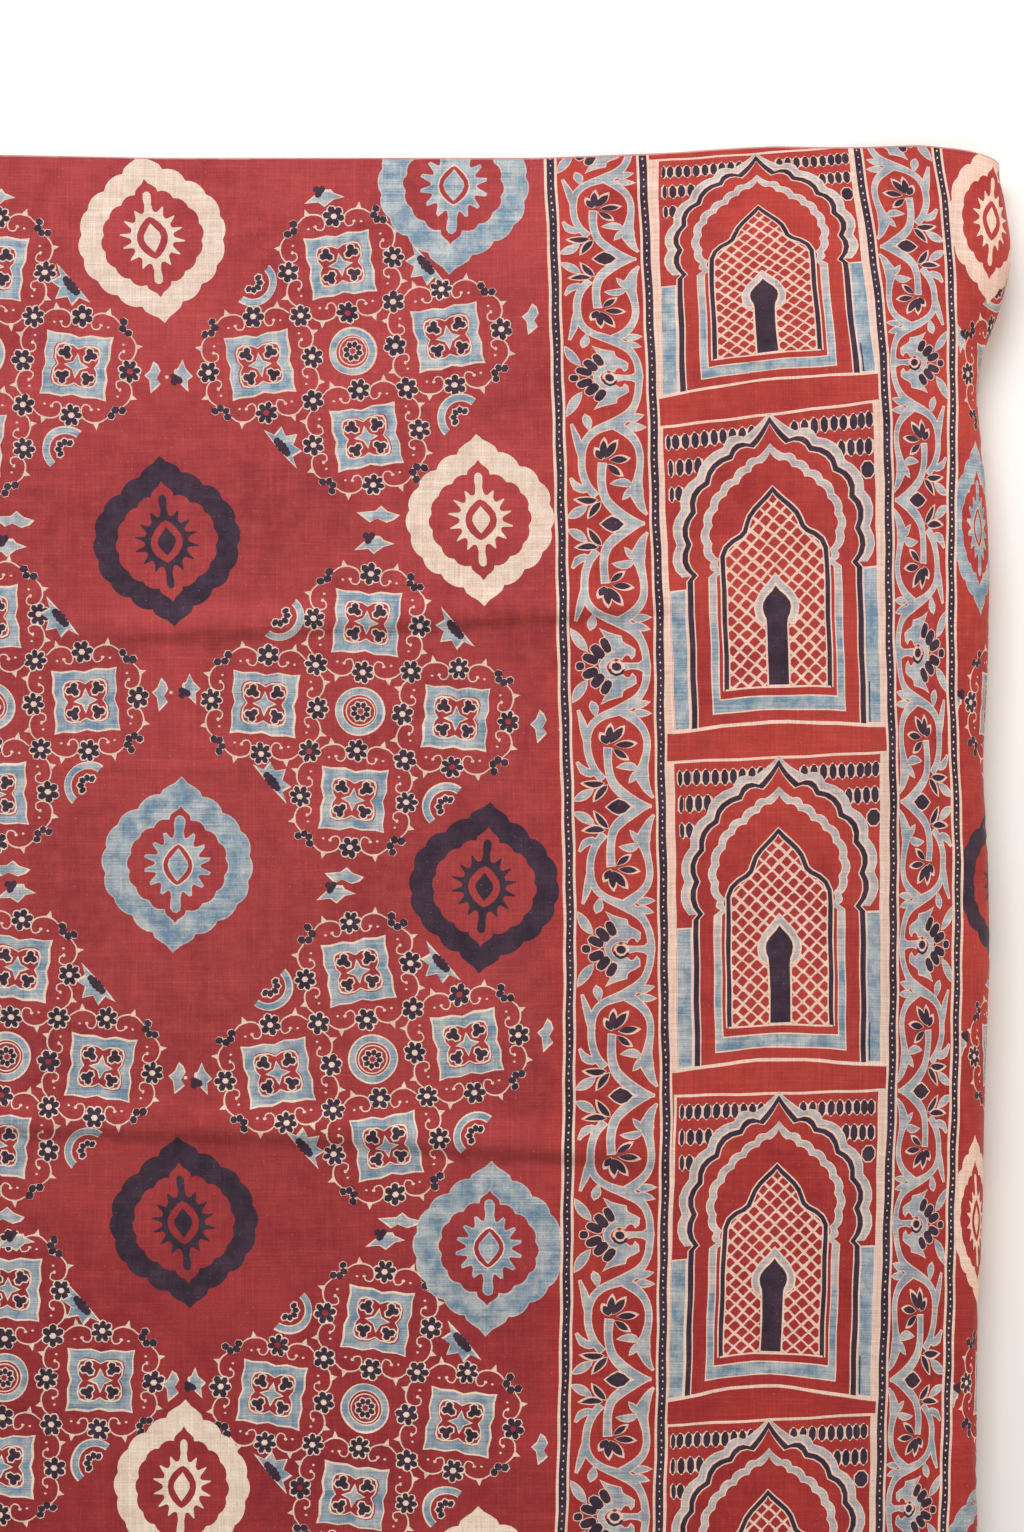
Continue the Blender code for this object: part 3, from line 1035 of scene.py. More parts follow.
def arch(corners, seed):
    tl, tr, br, bl, bow = corners
    rng = random.Random(seed)
    tl, tr, br, bl = (np.array(c, float) for c in (tl, tr, br, bl))

    def at(points):
        """a: from the middle, -104 to 104. b: down from the top, 0 to 301."""
        p = np.asarray(points, float)
        s, t = (p[:, 0:1] / 104.0 + 1) / 2, p[:, 1:2] / 301.0
        q = (tl * (1 - s) + tr * s) * (1 - t) + (bl * (1 - s) + br * s) * t
        lift = bow * np.cos((s[:, 0] - 0.46) * math.pi * 1.6) * t[:, 0] ** 3
        q[:, 1] -= lift
        return q

    def dense(points, step=16.0):
        """More points along long sides, so that they can bend."""
        p = np.asarray(points, float)
        out = []
        for a, b in zip(p, np.roll(p, -1, 0)):
            n = max(1, int(np.linalg.norm(b - a) / step))
            out += [a + (b - a) * i / n for i in range(n)]
        return np.array(out)

    def rect(x0, y0, x1, y1):
        return dense([(x0, y0), (x1, y0), (x1, y1), (x0, y1)])

    def across(half):
        return np.concatenate([(half * (-1, 1))[::-1], half[1:]])

    def band(ink, line, bulge, d1, d2, foot=None, shift=(0, 0)):
        """A band that follows the arch's line from one foot to the other."""
        edges = []
        for d in (d1, d2):
            h = half_arch(line, bulge, d)
            if foot is not None:
                h = np.concatenate([h, [(foot[0] + d, h[-1][1] + 5), (foot[0] + d, foot[1])]])
            edges.append(across(h))
        put(ink, at(dense(np.concatenate([edges[0], edges[1][::-1]])) + shift))

    # The doorway's lattice
    put(LINE, at(rect(-54, 70, 54, 266.5)))
    pitch, half = 14.7, 5.6
    n = 0
    y = 82.0
    while y < 268:
        x = -7.35 * (n % 2) - pitch * 4
        while x < 60:
            j = rng.uniform(-0.5, 0.5), rng.uniform(-0.5, 0.5)
            h = half * rng.uniform(0.92, 1.08)
            limit = np.interp(y, (80, 98, 110, 120, 130, 262), (2, 24, 32, 44, 52, 54))
            if abs(x) < limit + 3:
                put(RED, at([(x - h + j[0], y + j[1]), (x - 2.2 + j[0], y - h * 0.72), (x, y - h), (x + 2.2, y - h * 0.72 + j[1]), (x + h, y + j[1]), (x + j[0], y + h * 0.96)]))
            x += pitch
        y += pitch / 2
        n += 1

    # Halo and keyhole door
    def onion(o, foot):
        pts = [(0, 169.5 - o * 1.5), (3.0 + o * 0.4, 174.0 - o * 1.1), (8.0 + o * 0.75, 179.0 - o * 0.7), (11.8 + o * 0.95, 184.5 - o * 0.2), (12.6 + o, 189.5), (11.6 + o, 195.0 + o * 0.1), (9.6 + o * 0.95, 199.5 + o * 0.2)]
        return at(dense(across(np.array(pts + foot)), 22))

    put(CREAM, onion(9.6, [(13.0, 205.5)]))
    put(GREY, onion(8.2, [(13.0, 204.0)]))
    put(CREAM, onion(3.4, [(12.2, 204.5)]))
    put(CREAM, at(rect(-11.6, 201.0, 11.6, 266.0)))
    put(BLACK, onion(1.2, [(10.0, 206), (9.6, 232), (10.0, 264.5)]))

    # Red all round the doorway, and the block's frame of cream lines
    way = half_arch(OGEE, 0, -2.0)
    around = np.concatenate([way, [(48, 206), (48, 267), (104, 267), (104, 0), (0, 0)]])
    for side in (1, -1):
        put(RED, at(dense(around * (side, 1))))
    put(RED, at(rect(-104, 266, 104, 303)))
    put(CREAM, at(rect(-104, 0, 104, 2.6)))
    put(CREAM, at(rect(-104, 299.8, 104, 303.2)))
    put(CREAM, at(rect(-104.5, 0, -101.8, 303)))
    put(CREAM, at(rect(98.5 if seed < 203 else 100.6, 0, 102.8, 303)))

    # The narrow strips between the block and the border lines took little dye
    down = np.linspace(0.0, 303.0, 24)
    for k, edge, off in ((1, -104.0, LINE_WIDTHS[1][1] / 2 + 0.5), (2, 102.0, -LINE_WIDTHS[2][1] / 2 - 0.5)):
        if k == 1 and seed > 202:
            continue
        inner = at(np.stack([np.full(24, edge), down], 1))
        put(LINE, np.concatenate([inner, np.stack([line_x(k, inner[:, 1]) + off, inner[:, 1]], 1)[::-1]]))

    # Rows of bricks
    for y0, y1, places in BRICKS:
        for x in places:
            w = 4.4 if x < -93 else 7.2
            u = x + rng.uniform(-0.4, 0.4)
            e = w / 2 + 0.9
            put(CREAM, at([(u - e, y0 + 3.0), (u - 0.4, y0 - 0.6), (u + e, y0 + 3.0), (u + e, y1 - 3.0), (u + 0.4, y1 + 0.6), (u - e, y1 - 3.0)]))
    for y0, y1, places in BRICKS:
        for x in places:
            w = 4.4 if x < -93 else 7.2
            put(BLACK, at(oval(x + rng.uniform(-0.3, 0.3), (y0 + y1) / 2, w / 2 + 0.15, (y1 - y0) / 2 - 0.1, 8, 0, math.pi / 8)))
    for ink, r in ((CREAM, 9.6), (BLACK, 8.3)):
        put(ink, at(oval(92.0, 64.5, r * 0.80, r, 8, 0, math.pi / 8)))

    # Blue columns beside the arch
    put(CREAM, at(rect(-101.5, 163.5, -80.0, 299.9)))
    put(BLUE, at(rect(-100.8, 165.0, -87.4, 299.0)))
    put(CREAM, at(rect(80.0, 156.0, 100.5, 299.9)))
    put(BLUE, at(rect(86.4, 158.0, 98.8, 298.5)))
    # a thin black strip low in the right column: a painted shadow line
    put(BLACK, at(rect(87.6, 262.0, 88.9, 298.5)))

    # The outer arch: a washed band outside a black line
    foot = (82.0, 300.0)
    d = rng.uniform(-0.5, 0.5)
    band(CREAM, CUSPS, 6.0, 11.9, 3.0)
    band(GREY, CUSPS, 6.0, 10.8 + d, 4.6)
    band(CREAM, CUSPS, 6.0, 3.9, -3.9, foot)
    band(BLACK, CUSPS, 6.0, 2.6, -2.7, foot)
    # The inner arch and its foot
    base = (60.5, 276.0)
    band(CREAM, INNER_CUSPS, 3.2, 4.2, -4.0, base)
    band(GREY, INNER_CUSPS, 3.2, 3.0, -2.9, base)
    put(CREAM, at(rect(-64.7, 274.8, 64.7, 289.6)))
    put(BLUE, at(rect(-63.5, 276.2, 63.5, 288.2)))
    for side in (-1, 1):
        put(BLUE, at(dense([(side * 57.6, 200), (side * 63.5, 200), (side * 63.5, 280), (side * 57.6, 280)])))
    # The doorway's edge
    door = (50.0, 267.0)
    band(CREAM, OGEE, 0, 3.5, -3.4, door)
    band(BLACK, OGEE, 0, 2.2, -2.2, door)
    put(CREAM, at(rect(-51.0, 265.8, 51.0, 267.6)))


# ---------------------------------------------------------------- the layout
NONE = (None, None)
WREATHS = (
    # x, y, turn, across, along, where the cut motifs lie (NW, NE, SE, SW)
    (354, 351, -8.5, 1.0, 0.985, ((253, 283), (430, 262), (461, 417), (279, 450))),
    (360, 711, 4, 1.0, 1.0, ((280, 617), (459, 626), (446, 806), (268, 785))),
    (372.5, 1058.6, -9, 1.0, 1.0, ((270, 987), (445, 960), (477, 1135), (300, 1150))),
    (366, 1408, 8, 1.0, 1.0, ((289, 1311), (466, 1339), (446, 1509), (269, 1475))),
    (366, 1756, -5, 1.0, 1.0, (NONE, NONE, NONE, NONE)),
    (-18, 354, 7, 1.0, 1.0, (NONE, (75, 283), (66, 449), NONE)),
    (-10, 706, -3, 1.0, 1.0, (NONE, (64, 615), (88, 785), NONE)),
    (6, 1056, 7, 1.0, 1.0, (NONE, (100, 982), (88, 1150), NONE)),
    (5, 1377.5, 2, 1.0, 1.0, (NONE, (86, 1302), (94, 1463), NONE)),
    (4, 1726, -4, 1.0, 1.0, (NONE, NONE, NONE, NONE)),
)
# The small cut stars where two wreaths' ends meet: place, and the way each is cut
N, E, S, W = -math.pi / 2, 0.0, math.pi / 2, math.pi
TIPS = (
    (152, 377, E), (180, 377, W), (161, 695, E), (189, 690, W), (539, 726, E), (178, 1078, E), (201, 1080, W), (546, 1035, E),
    (170, 1386, E), (193, 1384, W), (539, 1448, E), (530, 319, E), (324, 196, N), (379, 515, S), (373, 543, N),
    (346, 876, S), (336, 892, N), (400, 1221, S), (384, 1239, N), (12, 869, S), (16, 891, N), (5, 1216, S), (14, 1240, N),
    (14, 520, S), (6, 546, N), (372, 1572, S), (368, 1598, N), (8, 1545, S), (6, 1566, N), (-6, 196, N),
)
FAR_TIPS = ((9, 337), (6, 697), (7, 1040), (7, 1392))
TIP_DOTS = ((166.3, 378), (171.8, 693), (560, 730), (571, 1033), (560, 1447), (560, 322), (186, 1078))
MEDALLIONS = (
    (152, 238, CREAM, -8), (167, 541, BLACK, -6), (177, 864, BLUE, 3), (184, 1222, BLACK, -4), (181.5, 1487, CREAM, 2),
    (453, 186, BLUE, 3), (480, 520, CREAM, -3), (484, 887, BLACK, 4), (488, 1248, BLUE, 2), (482, 1592, CREAM, -3),
)
# Right of the last line: distance along the cloth from that line.
FAR_MEDALLIONS = ((46, 214, CREAM, 3, 44), (28, 526, BLUE, -2, 27), (50, 880, BLACK, 2, 50), (28, 1220, CREAM, -2, 27), (48, 1560, BLUE, 3, 48))
FAR_WREATHS = ((105, 366, -4), (108, 706, 3), (108, 1050, -4), (108, 1390, 4), (108, 1732, -3))


def print_cloth():
    shapes.clear()
    for k, (x, y, turn, sx, sy, cuts) in enumerate(WREATHS):
        wreath(x, y, turn, 10 + k, sx, sy, cuts)
    rng = random.Random(7)
    for x, y, away in TIPS:
        tip_star(Block(0, 0), x, y, away, rng, away in (W, N))
    for x, y in FAR_TIPS:
        tip_star(Block(float(line_x(3, y)) + x, y, 0, 0.62, 1.0), 0, 0, E, rng, True)
    for x, y in TIP_DOTS:
        put(CREAM, oval(x, y, 1.9, 1.7, 6))
    for k, (x, y, ink, turn) in enumerate(MEDALLIONS):
        w = 69.0 if k == 4 else 75.5
        medallion(x, y, ink, turn, 50 + k, w)
    for k, (x, y, turn) in enumerate(FAR_WREATHS):
        wreath(float(line_x(3, y)) + x, y, turn, 80 + k, 0.6, 1.0, hidden=-60)
    for k, (x, y, ink, turn, w) in enumerate(FAR_MEDALLIONS):
        medallion(float(line_x(3, y)) + x, y, ink, turn, 90 + k, w)
    # The borders were printed over the field
    ys = np.arange(120.0, 1690.0, 13.0)
    put(RED, np.concatenate([np.stack([line_x(0, ys), ys], 1), np.stack([line_x(3, ys), ys], 1)[::-1]]))
    for k, block in enumerate(ARCHES):
        arch(block, 200 + k)
    vine(0)
    vine(1)
    for k in range(4):
        border_line(k)
    return shapes


# ---------------------------------------------------------------- the sheet
def wobble(p):
    """The small drift of a hand print, in the photograph's pixels."""
    x, y = p[:, 0], p[:, 1]
    dx = 0.9 * np.sin(x / 61 + 1.3 * np.sin(y / 83 + 0.4)) + 0.42 * np.sin(y / 10.3 + 2.1 * np.sin(x / 17.9))
    dy = 0.8 * np.sin(y / 57 + 1.1 * np.sin(x / 71 + 2.0)) + 0.42 * np.sin(x / 9.6 + 1.9 * np.sin(y / 15.1))
    return p + np.stack([dx, dy], 1)


def cut(points, edges):
    """Triangles that keep the given edges."""
    flat = [Vector((float(a), float(b))) for a, b in points]
    out = delaunay_2d_cdt(flat, [(int(a), int(b)) for a, b in edges], [], 0, 1e-5, True)
    verts = np.array([(v.x, v.y) for v in out[0]])
    faces = np.array([f for f in out[2] if len(f) == 3], int)
    return verts, faces


def facing_up(verts, faces):
    a, b, c = (verts[faces[:, k]] for k in range(3))
    area = (b[:, 0] - a[:, 0]) * (c[:, 1] - a[:, 1]) - (c[:, 0] - a[:, 0]) * (b[:, 1] - a[:, 1])
    keep = np.abs(area) > 1e-7
    faces = np.where((area < 0)[:, None], faces[:, ::-1], faces)
    return faces[keep]


def inks_at(points, print_shapes):
    """The ink that lies on top at each point, in painting order."""
    order = np.argsort(points[:, 0], kind="stable")
    p = points[order]
    px, py = p[:, 0], p[:, 1]
    ink = np.zeros(len(p), int)
    for what, q in print_shapes:
        x0, y0 = q.min(0)
        x1, y1 = q.max(0)
        i0, i1 = np.searchsorted(px, x0), np.searchsorted(px, x1)
        if i0 >= i1:
            continue
        near = np.nonzero((py[i0:i1] >= y0) & (py[i0:i1] <= y1))[0] + i0
        if not len(near):
            continue
        ax, ay = px[near], py[near]
        winding = np.zeros(len(near), int)
        for (ux, uy), (vx, vy) in zip(q.tolist(), np.roll(q, -1, 0).tolist()):
            if uy == vy:
                continue
            side = (vx - ux) * (ay - uy) - (ax - ux) * (vy - uy)
            if vy > uy:
                winding += (ay >= uy) & (ay < vy) & (side > 0)
            else:
                winding -= (ay >= vy) & (ay < uy) & (side < 0)
        ink[near[winding != 0]] = what
    out = np.zeros(len(p), int)
    out[order] = ink
    return out


def borders(faces, ink, outside):
    """The edges between triangles of different inks, and the cloth's outline."""
    e = np.concatenate([faces[:, [0, 1]], faces[:, [1, 2]], faces[:, [2, 0]]])
    label = np.where(outside, -1, ink)
    who = np.concatenate([label] * 3)
    e = np.sort(e, 1)
    key = e[:, 0].astype(np.int64) * (1 << 24) + e[:, 1]
    order = np.argsort(key, kind="stable")
    key, e, who = key[order], e[order], who[order]
    same = key[1:] == key[:-1]
    differs = same & (who[1:] != who[:-1])
    return e[1:][differs]


def thin_out(verts, edges, tolerance, fixed):
    """Drops points that lie along a line between two edges."""
    edges = edges.copy()
    for _ in range(7):
        n = len(verts)
        count = np.bincount(edges.ravel(), minlength=n)
        first = np.full(n, -1)
        second = np.full(n, -1)
        for a, b in ((0, 1), (1, 0)):
            v, w = edges[:, a], edges[:, b]
            fresh = first[v] < 0
            # one at a time where a vertex comes twice in this column
            _, once = np.unique(v, return_index=True)
            mask = np.zeros(len(v), bool)
            mask[once] = True
            put_first = mask & fresh
            first[v[put_first]] = w[put_first]
            rest = ~put_first
            second[v[rest]] = w[rest]
        ok = (count == 2) & ~fixed & (first >= 0) & (second >= 0) & (first != second)
        ids = np.nonzero(ok)[0]
        if not len(ids):
            break
        a, b, v = verts[first[ids]], verts[second[ids]], verts[ids]
        d = b - a
        length = np.maximum(np.linalg.norm(d, axis=1), 1e-9)
        off = np.abs(d[:, 0] * (v[:, 1] - a[:, 1]) - d[:, 1] * (v[:, 0] - a[:, 0])) / length
        far = np.maximum(np.linalg.norm(a - v, axis=1), np.linalg.norm(b - v, axis=1))
        ids = ids[(off < tolerance) & (far < 14.0)]
        # no two neighbours in one go
        rank = np.full(n, np.inf)
        rank[ids] = (ids * 7919) % 10007 + ids * 1e-9
        best = ids[(rank[ids] < rank[first[ids]]) & (rank[ids] < rank[second[ids]])]
        if not len(best):
            break
        gone = np.zeros(n, bool)
        gone[best] = True
        keep = ~(gone[edges[:, 0]] | gone[edges[:, 1]])
        edges = np.concatenate([edges[keep], np.stack([first[best], second[best]], 1)])
        edges = edges[edges[:, 0] != edges[:, 1]]
        edges = np.unique(np.sort(edges, 1), axis=0)
    return edges


def follow(points, edges, tolerance=0.00022, rounds=4):
    """Splits the edges whose straight line would leave the laid cloth."""
    for _ in range(rounds):
        a, b = points[edges[:, 0]], points[edges[:, 1]]
        middle = (a + b) / 2
        ends = lay(a[:, 0] / 1000, a[:, 1] / 1000) + lay(b[:, 0] / 1000, b[:, 1] / 1000)
        off = np.linalg.norm(lay(middle[:, 0] / 1000, middle[:, 1] / 1000) - ends / 2, axis=1)
        bent = off > tolerance
        if not bent.any():
            break
        new = np.arange(len(points), len(points) + bent.sum())
        points = np.concatenate([points, middle[bent]])
        edges = np.concatenate(
            [edges[~bent], np.stack([edges[bent, 0], new], 1), np.stack([new, edges[bent, 1]], 1)]
        )
    return points, edges


def bending_points(step=1.0):
    """Points that let the sheet bend: across and down, in millimetres."""
    cols = np.concatenate([
        np.arange(0, 550, 12.5 * step), np.arange(550, 742, 7.5), np.arange(742, 822, 2.8 * step),
        np.arange(822, 950, 12.0), [950.0],
    ])
    rows = np.concatenate([np.arange(0, 1000, 12.5 * step), [1000.0]])
    grid = [np.stack(np.meshgrid(cols, rows), -1).reshape(-1, 2)]
    for row in RIDGES:
        r = dict(zip(RIDGE_COLUMNS, row))
        xs = np.arange(0, 640, 7.0 * step)
        line = np.interp(xs, (r["start"], r["middle"], r["end"]), (r["down_start"], r["down_middle"], r["down_end"]))
        for off in (-20, -15.5, -11.5, -8, -5, -2.2, 0, 2, 4.2, 6.5, 9, 12):
            grid.append(np.stack([xs, line + off], 1))
    for x0, y0, x1, y1, height, half_a, half_b, fade in CREASES:
        length = math.hypot(x1 - x0, y1 - y0)
        t = np.arange(0, length + 1, 6.0 * step)
        ux, uy = (x1 - x0) / length, (y1 - y0) / length
        for off in (-half_a, -half_a * 0.5, 0, half_b * 0.5, half_b):
            grid.append(np.stack([x0 + ux * t + uy * off, y0 + uy * t - ux * off], 1))
    p = np.concatenate(grid)
    return p[(p[:, 0] >= 0) & (p[:, 0] <= 950) & (p[:, 1] >= 0) & (p[:, 1] <= 1000)]


def away_from(points, others, gap):
    """The points that have none of the others within about this distance."""
    cell = {}
    taken = set(map(tuple, np.floor(others / gap).astype(int).tolist()))
    out = []
    for (a, b), (i, j) in zip(points.tolist(), np.floor(points / gap).astype(int).tolist()):
        edge = a in (0.0, 950.0) or b in (0.0, 1000.0)
        if not edge and any((i + u, j + v) in taken for u in (-1, 0, 1) for v in (-1, 0, 1)):
            continue
        if (i, j) in cell and not edge:
            continue
        cell[(i, j)] = True
        out.append((a, b))
    return np.array(out)


def cloth_mesh():
    W, L = CLOTH_WIDTH * 1000, CLOTH_LENGTH * 1000
    drawn = print_cloth()
    sizes = [len(q) for _, q in drawn]
    every = to_cloth(wobble(np.concatenate([q for _, q in drawn]))) * 1000.0
    flat, k = [], 0
    for (ink, _), n in zip(drawn, sizes):
        q = every[k : k + n]
        k += n
        x0, y0 = q.min(0)
        x1, y1 = q.max(0)
        if x1 < 0 or x0 > W or y1 < 0 or y0 > L:
            continue
        flat.append((ink, np.stack([np.clip(q[:, 0], -3, W + 3), np.clip(q[:, 1], -3, L + 3)], 1)))
    flat += edge_threads()

    # First cut: every shape, to find what shows
    points = np.concatenate([q for _, q in flat] + [np.array([(0, 0), (W, 0), (W, L), (0, L)], float)])
    edges, k = [], 0
    for _, q in flat:
        n = len(q)
        ids = np.arange(k, k + n)
        edges.append(np.stack([ids, np.roll(ids, -1)], 1))
        k += n
    edges.append(np.array([(k, k + 1), (k + 1, k + 2), (k + 2, k + 3), (k + 3, k)]))
    verts, faces = cut(points, np.concatenate(edges))
    faces = facing_up(verts, faces)
    mid = verts[faces].mean(1)
    ink = inks_at(mid, flat)
    outside = (mid[:, 0] < 0) | (mid[:, 0] > W) | (mid[:, 1] < 0) | (mid[:, 1] > L)
    lines = borders(faces, ink, outside)
    on_edge = (
        (np.abs(verts[:, 0]) < 1e-4) | (np.abs(verts[:, 0] - W) < 1e-4)
        | (np.abs(verts[:, 1]) < 1e-4) | (np.abs(verts[:, 1] - L) < 1e-4)
    )
    lines = thin_out(verts, lines, 0.1, on_edge)
    used, lines = np.unique(lines.ravel(), return_inverse=True)
    lines = lines.reshape(-1, 2)
    kept, lines = follow(verts[used], lines)

    # Second cut: only what shows, with the points that let it bend
    bend = bending_points()
    extra = away_from(bend, kept, 2.9)
    verts, faces = cut(np.concatenate([kept, extra]), lines)
    faces = facing_up(verts, faces)
    mid = verts[faces].mean(1)
    inside = (mid[:, 0] > 0) & (mid[:, 0] < W) & (mid[:, 1] > 0) & (mid[:, 1] < L)
    faces, mid = faces[inside], mid[inside]
    ink = inks_at(mid, flat)

    # The back: the same outline, and the bending points
    rim = rim_of(faces)
    ring = verts[rim]
    inner = away_from(bending_points(2.0), ring, 4.0)
    inner = inner[(inner[:, 0] > 0) & (inner[:, 0] < W) & (inner[:, 1] > 0) & (inner[:, 1] < L)]
    n = len(ring)
    ids = np.arange(n)
    back_verts, back_faces = cut(np.concatenate([ring, inner]), np.stack([ids, np.roll(ids, -1)], 1))
    back_faces = facing_up(back_verts, back_faces)
    print("cloth: shapes", len(flat), "points", len(points), "lines", len(lines), "kept", len(kept),
          "front", len(faces), "back", len(back_faces), "rim", n)
    return verts, faces, ink, back_verts, back_faces, rim


def rim_of(faces):
    """The outline of the triangles, as one loop of points in order."""
    e = np.concatenate([faces[:, [0, 1]], faces[:, [1, 2]], faces[:, [2, 0]]])
    seen = set(map(tuple, e.tolist()))
    after = {a: b for a, b in seen if (b, a) not in seen}
    start = min(after)
    loop, at = [start], after[start]
    while at != start:
        loop.append(at)
        at = after[at]
    return np.array(loop)


def edge_threads():
    """Pale threads along the top edge, and stitches of the two plain hems."""
    out = []
    rng = random.Random(5)
    x = 0.0
    while x < 950:
        n = rng.uniform(14, 40)
        w = rng.uniform(0.75, 1.15)
        xs = np.linspace(x, min(x + n, 950.0), 4)
        out.append((THREAD, np.concatenate([np.stack([xs, np.full(4, -1.0)], 1), np.stack([xs, np.full(4, w)], 1)[::-1]])))
        x += n
    y = 10.0
    while y < 992:
        out.append((THREAD, np.array([(6.0, y), (6.5, y), (6.5, y + 2.6), (6.0, y + 2.6)])))
        y += 5.2
    x = 8.0
    while x < 944:
        out.append((THREAD, np.array([(x, 993.6), (x + 2.6, 993.6), (x + 2.6, 994.1), (x, 994.1)])))
        x += 5.2
    return out


FRONT_SHARE = 0.86  # how much of the bake map's width the printed side has


def build_cloth():
    verts, faces, ink, back_verts, back_faces, rim = cloth_mesh()

    def side(points, up):
        a, d = points[:, 0] / 1000.0, points[:, 1] / 1000.0
        n = lay_normals(np.clip(a, 0, CLOTH_WIDTH), np.clip(d, 0, CLOTH_LENGTH))
        return lay(a, d) + n * (SHEET / 2 * up), n * up

    front, front_n = side(verts, 1.0)
    back, back_n = side(back_verts, -1.0)
    n_front = len(front)

    # The outline's points come first in the back's list, in rim order
    ring = verts[rim]
    near = {}
    for i, (a, b) in enumerate(np.round(back_verts, 3).tolist()):
        near.setdefault((a, b), i)
    ring_back = np.array([near[(a, b)] for a, b in np.round(ring, 3).tolist()])
    # Under the folds the back, with its longer triangles, keeps clear of the front
    clear = 0.0006 * smooth((back[:, 2] - 0.0010) / 0.0012) * (back_verts[:, 0] < 640)
    clear[ring_back] = 0.0
    back[:, 2] -= clear

    co = np.concatenate([front, back])
    # y runs down in the flat cloth, so its own triangles face down
    front_faces = faces[:, ::-1]
    under_faces = back_faces + n_front
    a, b = rim, np.roll(rim, -1)
    c, d = ring_back + n_front, np.roll(ring_back, -1) + n_front
    rim_faces = np.stack([a, b, d, c], 1)

    mesh = bpy.data.meshes.new("ajrakh_cloth_printed")
    polys = front_faces.tolist() + under_faces.tolist() + rim_faces.tolist()
    mesh.from_pydata(co.tolist(), [], polys)
    mesh.update()
    n_f, n_u, n_r = len(front_faces), len(under_faces), len(rim_faces)

    # What is printed on each face: black, blue and cream
    colour = np.zeros((n_f + n_u + n_r, 4), np.float32)
    table = np.array(
        [(0, 0, 0, 1), (1, 0, 0, 1), (0, 1, 0, 1), (0, 0, 1, 1), (0, 0, 0.45, 1), (0, 1, 0.36, 1), (0, 1, 0.14, 1), (0, 0, 0.91, 1)], np.float32
    )
    colour[:n_f] = table[ink]
    colour[n_f:] = (0, 0, 0, 0)
    colour[n_f + n_u :] = (0, 0, 0, 1)
    dyes = mesh.attributes.new("dyes", "FLOAT_COLOR", "FACE")
    dyes.data.foreach_set("color", colour.ravel())

    # Flat coordinates in metres, and a map of the two sides for baking
    flat = np.concatenate([verts, back_verts]) / 1000.0
    loop_vert = np.zeros(len(mesh.loops), np.int64)
    mesh.loops.foreach_get("vertex_index", loop_vert)
    start = np.zeros(len(mesh.polygons), np.int64)
    total = np.zeros(len(mesh.polygons), np.int64)
    mesh.polygons.foreach_get("loop_start", start)
    mesh.polygons.foreach_get("loop_total", total)
    loop_face = np.repeat(np.arange(len(total)), total)
    uv = flat[loop_vert].copy()
    cloth_uv = mesh.uv_layers.new(name="cloth")
    cloth_uv.data.foreach_set("uv", uv.astype(np.float32).ravel())
    bake = np.zeros_like(uv)
    u, v = uv[:, 0] / CLOTH_WIDTH, 1.0 - uv[:, 1] / CLOTH_LENGTH
    on_back = (loop_face >= n_f) & (loop_face < n_f + n_u)
    bake[:, 0] = np.where(on_back, FRONT_SHARE + 0.012 + u * (0.985 - FRONT_SHARE - 0.012), 0.004 + u * (FRONT_SHARE - 0.008))
    bake[:, 1] = 0.004 + v * 0.992
    # the rim gets a narrow strip at the map's right edge
    on_rim = loop_face >= n_f + n_u
    k = (loop_face - n_f - n_u).astype(float)
    corner = np.arange(len(loop_vert)) - start[loop_face]
    step = np.where((corner == 1) | (corner == 2), 1.0, 0.0)
    bake[:, 0] = np.where(on_rim, np.where(corner < 2, 0.9890, 0.9960), bake[:, 0])
    bake[:, 1] = np.where(on_rim, 0.004 + (k + step) / n_r * 0.992, bake[:, 1])
    of_bake = mesh.uv_layers.new(name="OFBake")
    of_bake.data.foreach_set("uv", bake.astype(np.float32).ravel())
    mesh.uv_layers.active = cloth_uv
    cloth_uv.active_render = True

    # Normals of the cloth's true surface, so that long triangles don't show
    mesh.polygons.foreach_set("use_smooth", np.ones(len(mesh.polygons), bool))
    normal = np.concatenate([front_n, back_n])[loop_vert]
    face_n = np.zeros((n_r, 3))
    face_n[:] = [tuple(p.normal) for p in mesh.polygons[n_f + n_u :]]
    normal[on_rim] = np.repeat(face_n, 4, axis=0)
    mesh.normals_split_custom_set(normal.astype(np.float32))
    mesh.materials.append(printed_cotton())
    mesh.validate()
    obj = bpy.data.objects.new("ajrakh_cloth_printed", mesh)
    bpy.context.scene.collection.objects.link(obj)
    return obj


